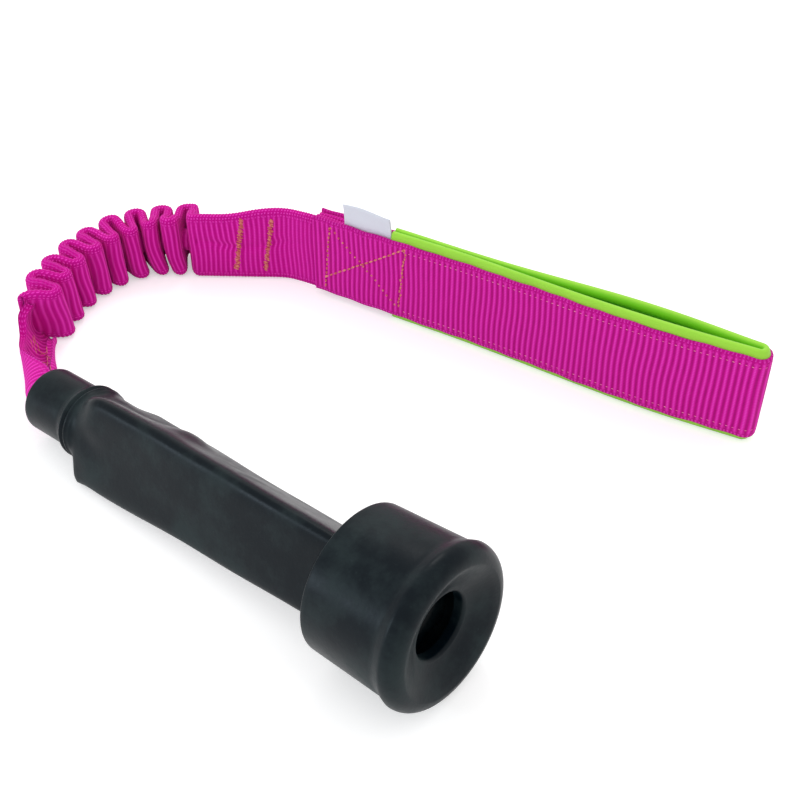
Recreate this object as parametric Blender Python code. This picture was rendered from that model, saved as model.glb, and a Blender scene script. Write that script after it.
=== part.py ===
"""Bungee tug toy: a rubber cup liner, a gathered bungee sleeve and a padded hand loop.

The toy lies on a flat surface as in use between two pulls. Lengths are metres. In plan the
hand loop runs along +X from its cross-stitched root, the sleeve leaves the root towards -X,
turns through an arc, and enters the neck of the liner, which comes back below the loop.
"""
import math

import bmesh
import bpy
from mathutils import Matrix, Vector

PART_NAME = "bungee_tug_toy"

# Clearances between separate pieces
CLOTH_GAP = 0.0003
SLEEVE_SPLIT = 0.0003
CUT_OVERRUN = 0.002

# Hand loop: webbing outside, padding inside
WEBBING_WIDTH = 0.040
WEBBING_THICKNESS = 0.0016
PADDING_MARGIN = 0.003
PADDING_THICKNESS = 0.0025
COVER_WALL = 0.00045
FOAM_GAP = 0.00025
LOOP_REACH = 0.1745
LOOP_HALF_GAP = 0.0034
FLAT_HALF_GAP = 0.00015
TIP_INNER_RADIUS = 0.001
GAP_START = 0.030
GAP_PEAK_SHARE = 0.66
GAP_FULLNESS = 1.2
LOOP_STEP = 0.009
TIP_STEPS = 8
PADDING_START = 0.0030

# Cross-stitched root of the loop, with the sleeve's folded end inside it
ROOT_LENGTH = 0.038
ROOT_FRONT = 0.0024
ROOT_CLEARANCE = 0.0026
BOX_STITCH_LENGTH = 0.0385
BOX_STITCH_HEIGHT = 0.034
BOX_STITCH_START = 0.030
THREAD_WIDTH = 0.0009
THREAD_THICKNESS = 0.0005
SEAM_INSET = 0.0038
SEAM_WIDTH = 0.0008
SEAM_THICKNESS = 0.00035
EDGE_SEAM_INSET = 0.004
EDGE_SEAM_START = 0.010
LABEL_WIDTH = 0.0245
LABEL_THICKNESS = 0.0006
LABEL_DEPTH = 0.009
LABEL_RISE = 0.010

# Sleeve: flat tubular webbing, gathered over the bungee
SLEEVE_WIDTH = 0.038
SLEEVE_THICKNESS = 0.0038
STRAP_LEAD = 0.011
STRAP_BEND_RADIUS = 0.020
STRAP_BEND = math.radians(29)
STRAP_RUN = 0.0378
STRAP_STEP = 0.004
STRAP_START_LOW = 0.0014
STRAP_SETTLE = 0.020
STRAP_END_LOW = 0.0006
STRAP_END_HIGH = 0.0342
TACK_STATIONS = (0.0235, 0.0375)
TACK_WIDTH = 0.0022
TACK_LOW = 0.006
TACK_HIGH = 0.035
TACK_THICKNESS = 0.0006
END_ANGLES = [math.radians(angle) for angle in (12, 35, 60, 90)]
CORNER_ANGLES = [math.radians(angle) for angle in (25, 50, 75)]

# Gathers: folds stand on edge and follow an arc of two radii
FOLD_COUNT = 9
FOLDS_PER_GROUP = 2
FIRST_PITCH = 0.0103
PITCH_GROWTH = 0.0004
FIRST_SWING = 0.0098
LAST_SWING = 0.0054
SWING_FADE_FOLDS = 6
FOLD_THICK_FAR = 0.0040
FOLD_THICK_NEAR = 0.0031
FOLD_TURN_HEIGHT = 0.0026
FOLD_LOW = 0.001
FOLD_HIGH = 0.0282
ENTRY_ROOM = 0.0022
FAR_FADE = 0.002
NEAR_FADE = 0.035
TURN_STEPS = 8
LEG_STEPS = 3
GATHER_LEAD = 0.0147
ARC_RADII = (0.040, 0.085)
ARC_TURNS = (math.radians(59), math.radians(33))

# Bungee core and the sheath that the sleeve's two layers form around it
CORE_RADIUS = 0.004
CORE_CLEARANCE = 0.0004
SHEATH_WALL = 0.0009
ANCHOR_HALF_THICKNESS = 0.0005
ANCHOR_HALF_WIDTH = 0.008
ANCHOR_LENGTH = 0.040
ANCHOR_TAPER = 0.018
CORE_SETTLE = 0.020
CORE_STEP = 0.004
CORE_END_GAP = 0.0004
BORE_SIDES = 12

# Twisted end: the sleeve rolls into a rope that enters the neck
ROPE_RADIUS = 0.0062
TWIST_START_HALF_WIDTH = 0.0072
TWIST_TURN = math.radians(115)
TWIST_STEPS = 16
TWIST_SIDES = 20
CORE_TAIL = 0.014
ROPE_END_GAP = 0.0004
TWIST_TACK_START_SHARE = 0.34
TWIST_TACK_END_SHARE = 0.62
TWIST_TACK_ANGLE = math.radians(215)
TWIST_TACK_RADIUS = 0.0005
ROPE_LEAN = math.radians(38)
TWIST_SETTLE_SHARE = 0.6
BALL_ANGLES = [math.radians(angle) for angle in (0, 30, 55, 75, 86)]

# Rubber liner, measured from its neck mouth along its axis
LINER_LENGTH = 0.2095
LINER_HEADING = math.radians(-9.7)
LINER_MOUTH = (-0.0763, -0.1402)
NECK_RADIUS = 0.0133
NECK_BORE_RADIUS = 0.0071
NECK_LENGTH = 0.0245
NECK_HEIGHT = 0.015
RIM_ROUND = 0.0008
RING_RADIUS = 0.0153
RING_GROOVE = 0.0008
RING_PITCH = 0.0028
BARREL_INRADIUS_NECK = 0.0138
BARREL_INRADIUS_HEAD = 0.0114
BARREL_ROOT_RADIUS = 0.0150
BARREL_WALL = 0.0026
BARREL_FACES = 3
BARREL_CREASE = 4
BARREL_ROLL = math.radians(43)
SHOULDER_RUN = 0.004
SHOULDER_STEPS = 3
HEAD_RADIUS = 0.030
SKIRT_FRONT_RADIUS = 0.0286
SKIRT_EDGE_RADIUS = 0.0276
SKIRT_WALL = 0.0034
HEAD_LENGTH = 0.0415
SKIRT_GROOVE_DEPTH = 0.020
LIP_ROUND = 0.006
LIP_STEP_RUN = 0.004
LIP_STEPS = 7
FACE_DISH = 0.0052
MOUTH_BORE_RADIUS = 0.0118
BORE_EDGE_ROUND = 0.0016
FRONT_WALL = 0.0095
CHAMBER_RADIUS = 0.021
CHAMBER_FUNNEL = 0.004
CHAMBER_FLOOR = 0.004
BARREL_RINGS = 7
LINER_SIDES = 36

# Folded end of the sleeve, jammed behind the neck inside the barrel
WAD_LENGTH = 0.020
WAD_INRADIUS = 0.0096
WAD_ROUND = 0.003
WAD_SEAT_GAP = 0.0005
WAD_TACK_LENGTH = 0.010

# Colours, as linear RGB, with roughness
MAGENTA = (0.56, 0.002, 0.25)
LIME = (0.30, 0.72, 0.02)
STITCH_GREEN = (0.02, 0.32, 0.03)
STITCH_CORAL = (0.62, 0.13, 0.10)
RUBBER = (0.018, 0.021, 0.025)
LABEL_WHITE = (0.78, 0.81, 0.86)
FOAM_GREY = (0.25, 0.25, 0.25)
BUNGEE_BLACK = (0.03, 0.03, 0.03)
CLOTH_ROUGHNESS = 0.85
RUBBER_ROUGHNESS = 0.42
FLAT_SHADE_ANGLE = math.radians(35)

# Sizes that follow from the ones above
PAD_TOP = WEBBING_WIDTH + 2 * PADDING_MARGIN
WEBBING_LOW = PADDING_MARGIN
WEBBING_HIGH = PADDING_MARGIN + WEBBING_WIDTH
SLEEVE_LOW = PADDING_MARGIN + (WEBBING_WIDTH - SLEEVE_WIDTH) / 2
SLEEVE_HIGH = SLEEVE_LOW + SLEEVE_WIDTH
WEBBING_INSIDE = FLAT_HALF_GAP + PADDING_THICKNESS + CLOTH_GAP
ROOT_HALF_DEPTH = WEBBING_INSIDE + WEBBING_THICKNESS
TAB_THICKNESS = 2 * (WEBBING_INSIDE - CLOTH_GAP)
TIP_WALL = PADDING_THICKNESS + CLOTH_GAP + WEBBING_THICKNESS
GAP_END = LOOP_REACH - TIP_WALL - TIP_INNER_RADIUS
STRAP_PIVOT = Vector((-ROOT_LENGTH - ROOT_CLEARANCE, 0))
SEAM_ROOM = 2 * CLOTH_GAP + SEAM_THICKNESS
SHEATH_RADIUS = CORE_RADIUS + CORE_CLEARANCE + SHEATH_WALL
ROPE_PIVOT_REACH = ROPE_RADIUS + ROPE_END_GAP
GROUP_COUNT = (FOLD_COUNT - 1) // FOLDS_PER_GROUP


def share(value, low, high):
    """How far value lies between low and high, held between 0 and 1."""
    return min(max((value - low) / (high - low), 0), 1)


def ease(value):
    """Smooth step from 0 to 1."""
    return value * value * (3 - 2 * value)


def mix(first, second, part):
    return first + (second - first) * part


# Scene, materials and collections

def clear_scene():
    for item in list(bpy.data.objects):
        bpy.data.objects.remove(item, do_unlink=True)


def new_collection(name):
    collection = bpy.data.collections.new(name)
    bpy.context.scene.collection.children.link(collection)
    return collection


def new_material(name, colour, roughness, metallic=0):
    material = bpy.data.materials.new(name)
    material.use_nodes = True
    shader = material.node_tree.nodes["Principled BSDF"]
    shader.inputs["Base Color"].default_value = (*colour, 1)
    shader.inputs["Roughness"].default_value = roughness
    shader.inputs["Metallic"].default_value = metallic
    return material


def new_pivot(name, place, parent):
    """Empty on a joint's axis, which carries the pieces of one moving body."""
    pivot = bpy.data.objects.new(name, None)
    parts.objects.link(pivot)
    pivot.location = place
    if parent:
        pivot.location = Vector(place) - parent.matrix_world.translation
        pivot.parent = parent
    bpy.context.view_layer.update()
    return pivot


# Lofts: every strap, rope, fold and the liner is a row of rings

def loft(name, rings, material, pivot, closed=False):
    """Closed solid through a row of rings, capped at both ends or closed on itself."""
    mesh = bpy.data.meshes.new(name)
    shape = bmesh.new()
    rows = [[shape.verts.new(point) for point in ring] for ring in rings]
    pairs = list(zip(rows, rows[1:]))
    if closed:
        pairs.append((rows[-1], rows[0]))
    for row, after in pairs:
        for index in range(len(row)):
            following = (index + 1) % len(row)
            shape.faces.new((row[index], row[following], after[following], after[index]))
    if not closed:
        shape.faces.new(reversed(rows[0]))
        shape.faces.new(rows[-1])
    bmesh.ops.recalc_face_normals(shape, faces=shape.faces)
    shape.to_mesh(mesh)
    shape.free()
    mesh.shade_smooth()
    mesh.set_sharp_from_angle(angle=FLAT_SHADE_ANGLE)
    item = bpy.data.objects.new(name, mesh)
    if material is None:
        cutters.objects.link(item)
        item.hide_render = True
        item.display_type = "WIRE"
        return item
    parts.objects.link(item)
    mesh.materials.append(material)
    item.parent = pivot
    item.matrix_parent_inverse = pivot.matrix_world.inverted()
    return item


def boolean(item, other, operation):
    change = item.modifiers.new(f"{operation.lower()} {other.name}", "BOOLEAN")
    change.operation = operation
    change.solver = "EXACT"
    change.object = other


def plan_normals(line):
    """Unit normals to the right of a plan line. An end keeps the curve of its last runs."""
    runs = [(after - before).normalized() for before, after in zip(line, line[1:])]
    alongs = [first + second for first, second in zip(runs, runs[1:])]
    if alongs:
        alongs.insert(0, 3 * runs[0] - runs[1])
        alongs.append(3 * runs[-1] - runs[-2])
    else:
        alongs = [runs[0], runs[0]]
    return [Vector((along.y, -along.x)).normalized() for along in alongs]


def band(name, line, thickness, low, high, material, pivot, plain=False):
    """Strip standing on edge along a plan line. Sizes are numbers or one value a point."""
    count = len(line)
    thick = thickness if isinstance(thickness, list) else [thickness] * count
    lows = low if isinstance(low, list) else [low] * count
    highs = high if isinstance(high, list) else [high] * count
    rings = []
    for point, normal, depth, bottom, top in zip(line, plan_normals(line), thick, lows, highs):
        half = depth / 2
        trim = half / 2
        section = ((half, bottom + trim), (half, top - trim), (trim, top), (-trim, top),
                   (-half, top - trim), (-half, bottom + trim), (-trim, bottom), (trim, bottom))
        if plain:
            section = ((half, bottom), (half, top), (-half, top), (-half, bottom))
        rings.append([(point + normal * side).to_3d() + Vector((0, 0, height))
                      for side, height in section])
    return loft(name, rings, material, pivot)


def rope(name, line, heights, half_depths, half_heights, material, pivot, rolls=None,
         sides=BORE_SIDES):
    """Solid of elliptic rings square to a plan line, each turned by its roll."""
    rolls = rolls or [0] * len(line)
    rings = []
    for point, normal, height, depth, tall, roll in zip(
            line, plan_normals(line), heights, half_depths, half_heights, rolls):
        ring = []
        for index in range(sides):
            angle = math.tau * index / sides
            side = depth * math.cos(angle)
            up = tall * math.sin(angle)
            turned_side = side * math.cos(roll) - up * math.sin(roll)
            turned_up = side * math.sin(roll) + up * math.cos(roll)
            spot = (point + normal * turned_side).to_3d()
            ring.append(spot + Vector((0, 0, height + turned_up)))
        rings.append(ring)
    return loft(name, rings, material, pivot)


# Plan lines

def run(point, heading, length, step):
    """Points of a straight run, without its start."""
    count = max(round(length / step), 1)
    along = Vector((math.cos(heading), math.sin(heading)))
    return [point + along * (length * (index + 1) / count) for index in range(count)]


def bend(point, heading, radius, turn, step):
    """Points of a left-hand arc, without its start."""
    count = max(round(radius * turn / step), 1)
    centre = point + radius * Vector((-math.sin(heading), math.cos(heading)))
    angles = [heading + turn * (index + 1) / count for index in range(count)]
    return [centre + radius * Vector((math.sin(angle), -math.cos(angle))) for angle in angles]


def half_gap(x):
    """Half the clear width inside the hand loop at a distance along it."""
    part = share(x, GAP_START, GAP_END)
    rest = mix(FLAT_HALF_GAP, TIP_INNER_RADIUS, part)
    power = math.log(1 / 2) / math.log(GAP_PEAK_SHARE)
    swell = math.sin(math.pi * part ** power) ** GAP_FULLNESS
    return rest + (LOOP_HALF_GAP - TIP_INNER_RADIUS) * swell


def loop_line(start, outward):
    """Plan line round the hand loop, a distance outside its inner faces."""
    count = math.ceil((GAP_END - start) / LOOP_STEP)
    places = [start + (GAP_END - start) * index / count for index in range(count)]
    near = [Vector((x, -half_gap(x) - outward)) for x in places]
    radius = TIP_INNER_RADIUS + outward
    angles = [-math.pi / 2 + math.pi * index / TIP_STEPS for index in range(TIP_STEPS + 1)]
    tip = [Vector((GAP_END + radius * math.cos(angle), radius * math.sin(angle)))
           for angle in angles]
    far = [Vector((point.x, -point.y)) for point in reversed(near)]
    return near + tip + far


def gather_centre():
    """Mean line of the gathers, with its headings, from the strap's end."""
    heading = math.pi + STRAP_BEND
    strap = strap_line()
    outward = Vector((math.sin(heading), -math.cos(heading)))
    points = [strap[-1] + outward * FIRST_SWING]
    headings = [heading]
    points += run(points[-1], heading, GATHER_LEAD, CORE_STEP)
    headings += [heading] * (len(points) - len(headings))
    for radius, turn in zip(ARC_RADII, ARC_TURNS):
        added = bend(points[-1], heading, radius, turn, CORE_STEP)
        headings += [heading + turn * (index + 1) / len(added) for index in range(len(added))]
        points += added
        heading += turn
    return points, headings


def strap_line():
    """Plan line of the flat strap, from its pivot to where the gathers begin."""
    points = [STRAP_PIVOT.copy()]
    points += run(points[-1], math.pi, STRAP_LEAD, STRAP_STEP)
    points += bend(points[-1], math.pi, STRAP_BEND_RADIUS, STRAP_BEND, STRAP_STEP)
    points += run(points[-1], math.pi + STRAP_BEND, STRAP_RUN, STRAP_STEP)
    return points


def gather_place(distance, aside):
    """World plan point at a distance along the mean line, aside towards the far humps."""
    travelled = 0
    points, headings = GATHERS
    for index in range(len(points) - 1):
        length = (points[index + 1] - points[index]).length
        if travelled + length >= distance or index == len(points) - 2:
            part = (distance - travelled) / length
            place = points[index].lerp(points[index + 1], part)
            heading = mix(headings[index], headings[index + 1], part)
            break
        travelled += length
    return place + aside * Vector((math.sin(heading), -math.cos(heading)))


def gather_distance(folds):
    """Distance along the mean line after a number of folds. The first hump stands open."""
    opened = ENTRY_ROOM * share(2 * folds, 0, 1)
    return opened + FIRST_PITCH * folds + PITCH_GROWTH * folds * folds / 2


def gather_heading(distance):
    ahead = gather_place(distance + CLOTH_GAP, 0)
    behind = gather_place(distance - CLOTH_GAP, 0)
    return math.atan2(ahead.y - behind.y, ahead.x - behind.x)


def swing(folds):
    return mix(FIRST_SWING, LAST_SWING, share(folds, 0, SWING_FADE_FOLDS))


def fold_points(first, last):
    """Places of the folded strip as folds and a share of the swing, first to last fold.

    A fold is one pitch: up a leg to the far hump and back down to the near column. The
    strip starts in a near column, and whole numbers and a half are the far humps.
    """
    spots = []
    quarter = 1 / 4
    for unit in range(2 * FOLD_COUNT):
        middle = (unit + 1) / 2
        side = 1 if unit % 2 == 0 else -1
        for index in range(1, LEG_STEPS):
            spots.append((middle - quarter, side * mix(-1, 1, index / LEG_STEPS), 0))
        for index in range(TURN_STEPS + 1):
            angle = math.pi * index / TURN_STEPS
            spots.append((middle - quarter * math.cos(angle), side, side * math.sin(angle)))
    slack = quarter / TURN_STEPS ** 2
    return [spot for spot in spots if first - slack <= spot[0] <= last + slack]


def fold_line(first, last):
    """Plan line of the folded strip between two fold numbers, with its side shares."""
    line = []
    sides = []
    for folds, side, cap in fold_points(first, last):
        reach = swing(folds) - FOLD_TURN_HEIGHT
        aside = reach * side + FOLD_TURN_HEIGHT * cap
        line.append(gather_place(gather_distance(folds), aside))
        sides.append(aside / swing(folds))
    return line, sides


def core_stations(first, last):
    """Distances along the mean line, on whole steps that the bore and the bungee share.

    A step that would leave a sliver at either end is left out.
    """
    low = math.floor(first / CORE_STEP + 1 / 4) + 1
    high = math.ceil(last / CORE_STEP - 1 / 4)
    return [first] + [index * CORE_STEP for index in range(low, high)] + [last]


def core_line(first, last):
    """Plan line and heights of the bungee between two distances along the mean line."""
    line = []
    heights = []
    for distance in core_stations(first, last):
        settled = ease(share(distance, -CORE_SETTLE, 0))
        line.append(gather_place(distance, -FIRST_SWING * (1 - settled)))
        strap_height = (STRAP_END_LOW + STRAP_END_HIGH) / 2
        heights.append(mix(strap_height, (FOLD_LOW + FOLD_HIGH) / 2, settled))
    return line, heights


# Hand loop

def build_hand_loop(pivot):
    """Webbing outside, a padded sleeve inside and the two rows of seams."""
    webbing_line = [Vector((-ROOT_LENGTH, -WEBBING_INSIDE - WEBBING_THICKNESS / 2))]
    webbing_line += loop_line(PADDING_START, PADDING_THICKNESS + CLOTH_GAP + WEBBING_THICKNESS / 2)
    webbing_line += [Vector((-ROOT_LENGTH, WEBBING_INSIDE + WEBBING_THICKNESS / 2))]
    band("handle_webbing", webbing_line, WEBBING_THICKNESS, WEBBING_LOW, WEBBING_HIGH,
         magenta, pivot)
    middle = loop_line(PADDING_START, PADDING_THICKNESS / 2)
    cover = band("padding_cover", middle, PADDING_THICKNESS, 0, PAD_TOP, lime, pivot)
    hollow = PADDING_THICKNESS - 2 * COVER_WALL
    overrun = Vector((-CUT_OVERRUN, 0))
    longer = [middle[0] + overrun] + middle + [middle[-1] + overrun]
    cavity = band("padding_cavity", longer, hollow, COVER_WALL, PAD_TOP - COVER_WALL, None, None)
    boolean(cover, cavity, "DIFFERENCE")
    band("padding_foam", middle, hollow - 2 * FOAM_GAP, COVER_WALL + FOAM_GAP,
         PAD_TOP - COVER_WALL - FOAM_GAP, foam, pivot)
    for name, height in (("upper", PAD_TOP - SEAM_INSET), ("lower", SEAM_INSET)):
        inside = loop_line(PADDING_START, -CLOTH_GAP - SEAM_THICKNESS / 2)
        open_part = [point for point in inside if half_gap(point.x) > SEAM_ROOM]
        band(f"padding_seam_{name}", open_part, SEAM_THICKNESS,
             height - SEAM_WIDTH / 2, height + SEAM_WIDTH / 2, stitch_green, pivot, plain=True)
    outside = loop_line(PADDING_START, TIP_WALL + CLOTH_GAP + SEAM_THICKNESS / 2)
    for name, height in (("upper", WEBBING_HIGH - EDGE_SEAM_INSET),
                         ("lower", WEBBING_LOW + EDGE_SEAM_INSET)):
        open_part = [point for point in outside if point.x > EDGE_SEAM_START]
        band(f"webbing_seam_{name}", open_part, SEAM_THICKNESS,
             height - SEAM_WIDTH / 2, height + SEAM_WIDTH / 2, magenta, pivot, plain=True)


def build_root(pivot):
    """Sleeve end folded between the webbing's ends, the label and the cross stitching."""
    start = STRAP_PIVOT.x + SLEEVE_THICKNESS / 2 + CLOTH_GAP
    tab_line = [Vector((start, 0)), Vector((ROOT_FRONT, 0))]
    tab = band("sleeve_tab", tab_line, TAB_THICKNESS, SLEEVE_LOW, SLEEVE_HIGH, magenta, pivot)
    middle = -TAB_THICKNESS / 2 + LABEL_THICKNESS / 2
    label_line = [Vector((ROOT_FRONT - LABEL_WIDTH, middle)), Vector((ROOT_FRONT, middle))]
    band("label", label_line, LABEL_THICKNESS, WEBBING_HIGH - LABEL_DEPTH,
         WEBBING_HIGH + LABEL_RISE, white, pivot)
    pocket_line = [Vector((ROOT_FRONT - LABEL_WIDTH - CLOTH_GAP, middle)),
                   Vector((ROOT_FRONT + CUT_OVERRUN, middle))]
    pocket = band("label_pocket", pocket_line, LABEL_THICKNESS + 2 * CLOTH_GAP,
                  WEBBING_HIGH - LABEL_DEPTH - CLOTH_GAP, WEBBING_HIGH + CUT_OVERRUN, None, None)
    boolean(tab, pocket, "DIFFERENCE")
    face = ROOT_HALF_DEPTH + CLOTH_GAP + THREAD_THICKNESS / 2
    build_box_stitch("box_stitch_front", -face, pivot)
    build_box_stitch("box_stitch_back", face, pivot)


def build_box_stitch(name, depth, pivot):
    """Two upright rows joined by a cross, as one flat outline with two holes."""
    half = THREAD_WIDTH / 2
    left = -BOX_STITCH_START
    right = left + BOX_STITCH_LENGTH
    middle_x = (left + right) / 2
    middle_z = (WEBBING_LOW + WEBBING_HIGH) / 2
    low = middle_z - BOX_STITCH_HEIGHT / 2
    high = middle_z + BOX_STITCH_HEIGHT / 2
    slope = BOX_STITCH_HEIGHT / BOX_STITCH_LENGTH
    rise = half * math.sqrt(1 + slope * slope)
    reach = rise / slope
    inner = BOX_STITCH_LENGTH / 2 - half
    outer = [(left - half, low), (left - half, high), (left + half, high),
             (left + half, high - (half + half) * slope + rise),
             (middle_x, middle_z + rise), (right - half, high - (half + half) * slope + rise),
             (right - half, high), (right + half, high), (right + half, low), (right - half, low),
             (right - half, low + (half + half) * slope - rise), (middle_x, middle_z - rise),
             (left + half, low + (half + half) * slope - rise), (left + half, low)]
    holes = []
    for side in (-1, 1):
        edge = middle_x + side * inner
        spread = (inner - reach) * slope
        holes.append([(edge, middle_z - spread), (edge, middle_z + spread),
                      (middle_x + side * reach, middle_z)])
    curve = bpy.data.curves.new(name, "CURVE")
    curve.dimensions = "2D"
    curve.fill_mode = "BOTH"
    curve.extrude = THREAD_THICKNESS / 2
    for outline in [outer] + holes:
        spline = curve.splines.new("POLY")
        spline.points.add(len(outline) - 1)
        for spot, (x, y) in zip(spline.points, outline):
            spot.co = (x, y, 0, 1)
        spline.use_cyclic_u = True
    curve.materials.append(coral)
    item = bpy.data.objects.new(name, curve)
    parts.objects.link(item)
    item.matrix_world = Matrix.Translation((0, depth, 0)) @ Matrix.Rotation(math.pi / 2, 4, "X")
    item.parent = pivot
    item.matrix_parent_inverse = pivot.matrix_world.inverted()


# Sleeve and bungee

def build_strap(pivot):
    """Flat strap with a round end at its pivot, its first leg and the bungee's sewn end."""
    flat = strap_line()
    travelled = [0]
    for before, after in zip(flat, flat[1:]):
        travelled.append(travelled[-1] + (after - before).length)
    radius = SLEEVE_THICKNESS / 2
    end = [Vector((STRAP_PIVOT.x + radius * math.cos(angle), 0)) for angle in END_ANGLES]
    rounded = [SLEEVE_THICKNESS * math.sin(angle) for angle in END_ANGLES]
    leg, sides = fold_line(1 / 4, 1 / 2)
    corner = [gather_place(gather_distance(math.sin(angle) / 4),
                           -FIRST_SWING + FOLD_TURN_HEIGHT * (1 - math.cos(angle)))
              for angle in CORNER_ANGLES]
    line = end + flat[1:] + corner + leg
    thick = rounded + [SLEEVE_THICKNESS] * len(flat[1:]) + [FOLD_THICK_NEAR] * len(corner)
    thick += [fold_thickness(side) for side in sides]
    lows = [STRAP_START_LOW] * len(end)
    highs = [STRAP_START_LOW + SLEEVE_WIDTH] * len(end)
    for distance in travelled[1:]:
        lows.append(mix(STRAP_START_LOW, STRAP_END_LOW, ease(share(distance, 0, STRAP_SETTLE))))
        part = ease(share(distance, STRAP_LEAD, travelled[-1]))
        highs.append(mix(STRAP_START_LOW + SLEEVE_WIDTH, STRAP_END_HIGH, part))
    turns = [-1] * len(corner) + sides
    for index, side in enumerate(turns, start=1):
        part = index / len(turns)
        lows.append(mix(STRAP_END_LOW, FOLD_LOW, part))
        highs.append(fold_top(gather_distance(1 / 2) * part, side))
    strap = band("sleeve_strap", line, thick, lows, highs, magenta, pivot)
    last = gather_distance(1 / 2) - SLEEVE_SPLIT / 2
    join_core(strap, "strap", -ANCHOR_LENGTH, last, pivot, anchored=True)
    for index, station in enumerate(TACK_STATIONS, start=1):
        for name, side in (("front", 1), ("back", -1)):
            build_tack(f"bar_tack_{index}_{name}", station, side, pivot)


def build_tack(name, station, side, pivot):
    """Dense bar of stitches across the strap, on one face."""
    heading = math.pi + STRAP_BEND
    length = STRAP_LEAD + STRAP_BEND_RADIUS * STRAP_BEND + STRAP_RUN
    along = Vector((math.cos(heading), math.sin(heading)))
    frontward = Vector((-math.sin(heading), math.cos(heading)))
    lift = SLEEVE_THICKNESS / 2 + CLOTH_GAP + TACK_THICKNESS / 2
    centre = strap_line()[-1] - along * (length - station) + frontward * lift * side
    line = [centre - along * TACK_WIDTH / 2, centre + along * TACK_WIDTH / 2]
    band(name, line, TACK_THICKNESS, TACK_LOW, TACK_HIGH, coral, pivot)


def fold_thickness(side):
    return mix(FOLD_THICK_NEAR, FOLD_THICK_FAR, (side + 1) / 2)


def fold_top(distance, side):
    """Height of the folds' upper edge, which drops at once in the far humps."""
    fade = mix(NEAR_FADE, FAR_FADE, (side + 1) / 2)
    return FOLD_HIGH + (STRAP_END_HIGH - FOLD_HIGH) * math.exp(-distance / fade)


def join_core(item, name, first, last, pivot, anchored=False):
    """Adds the sheath round the bungee to a piece of the sleeve and cuts the bore."""
    line, heights = core_line(first, last)
    sheath = rope(f"{name}_sheath", line, heights,
                  *core_sizes(first, last, SHEATH_RADIUS - CORE_RADIUS, anchored),
                  None, None)
    boolean(item, sheath, "UNION")
    longer_first = first if anchored else first - CUT_OVERRUN
    longer_last = last + CUT_OVERRUN
    line, heights = core_line(longer_first, longer_last)
    bore = rope(f"{name}_bore", line, heights,
                *core_sizes(longer_first, longer_last, CORE_CLEARANCE, anchored),
                None, None)
    boolean(item, bore, "DIFFERENCE")


def core_sizes(first, last, extra, anchored):
    """Half sizes of the bungee along a stretch, grown by extra. Its sewn end is flat."""
    depths = []
    talls = []
    for distance in core_stations(first, last):
        round_part = ease(share(distance, -ANCHOR_TAPER, 0)) if anchored else 1
        depths.append(mix(ANCHOR_HALF_THICKNESS, CORE_RADIUS, round_part) + extra)
        talls.append(mix(ANCHOR_HALF_WIDTH, CORE_RADIUS, round_part) + extra)
    return depths, talls


def build_gathers(group, pivot):
    """One rigid group of folds with its stretch of the bungee's sheath."""
    first = first_fold(group)
    last = first_fold(group + 1)
    line, sides = fold_line(first, last)
    line[0] = shortened(line[0], line[1])
    line[-1] = shortened(line[-1], line[-2])
    start = gather_distance(first)
    end = gather_distance(last)
    thick = [fold_thickness(side) for side in sides]
    tops = []
    for index, side in enumerate(sides):
        distance = mix(start, end, index / (len(line) - 1))
        tops.append(fold_top(distance, side))
    name = f"sleeve_gathers_{group + 1}"
    item = band(name, line, thick, FOLD_LOW, tops, magenta, pivot)
    join_core(item, name, start + SLEEVE_SPLIT / 2, end - SLEEVE_SPLIT / 2, pivot)


def shortened(point, neighbour):
    """Moves a strip's end back by half the gap between two groups."""
    return point + (neighbour - point).normalized() * SLEEVE_SPLIT / 2


def build_core(name, first, last, pivot, anchored=False):
    line, heights = core_line(first, last)
    return rope(name, line, heights, *core_sizes(first, last, 0, anchored),
                bungee, pivot)


# Twisted end

def twist_line():
    """Plan line of the twisted end, from the last hump's side to the neck pivot."""
    start_distance = gather_distance(first_fold(GROUP_COUNT)) + SLEEVE_SPLIT / 2
    start = gather_place(start_distance, 0)
    heading = gather_heading(start_distance)
    pivot = neck_pivot().to_2d()
    reach = (pivot - start).length / 3
    lean = neck_heading_out()
    first = start + reach * Vector((math.cos(heading), math.sin(heading)))
    second = pivot + reach * Vector((math.cos(lean), math.sin(lean)))
    line = []
    for index in range(TWIST_STEPS + 1):
        part = index / TWIST_STEPS
        rest = 1 - part
        line.append(start * rest ** 3 + first * (3 * rest * rest * part)
                    + second * (3 * rest * part * part) + pivot * part ** 3)
    return line


def neck_heading_out():
    """Heading of the rope as it leaves the neck, between the liner's axis and the gathers."""
    return LINER_HEADING + math.pi - ROPE_LEAN


def twist_sizes():
    """Half depth, half height and roll of the rope along the twisted end."""
    depths = []
    talls = []
    rolls = []
    for index in range(TWIST_STEPS + 1):
        part = ease(share(index / TWIST_STEPS, 0, TWIST_SETTLE_SHARE))
        depths.append(mix(TWIST_START_HALF_WIDTH, ROPE_RADIUS, part))
        talls.append(mix((FOLD_HIGH - FOLD_LOW) / 2, ROPE_RADIUS, part))
        rolls.append(TWIST_TURN * index / TWIST_STEPS)
    return depths, talls, rolls


def twist_heights():
    start = (FOLD_LOW + FOLD_HIGH) / 2
    return [mix(start, neck_pivot().z, ease(index / TWIST_STEPS))
            for index in range(TWIST_STEPS + 1)]


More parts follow.
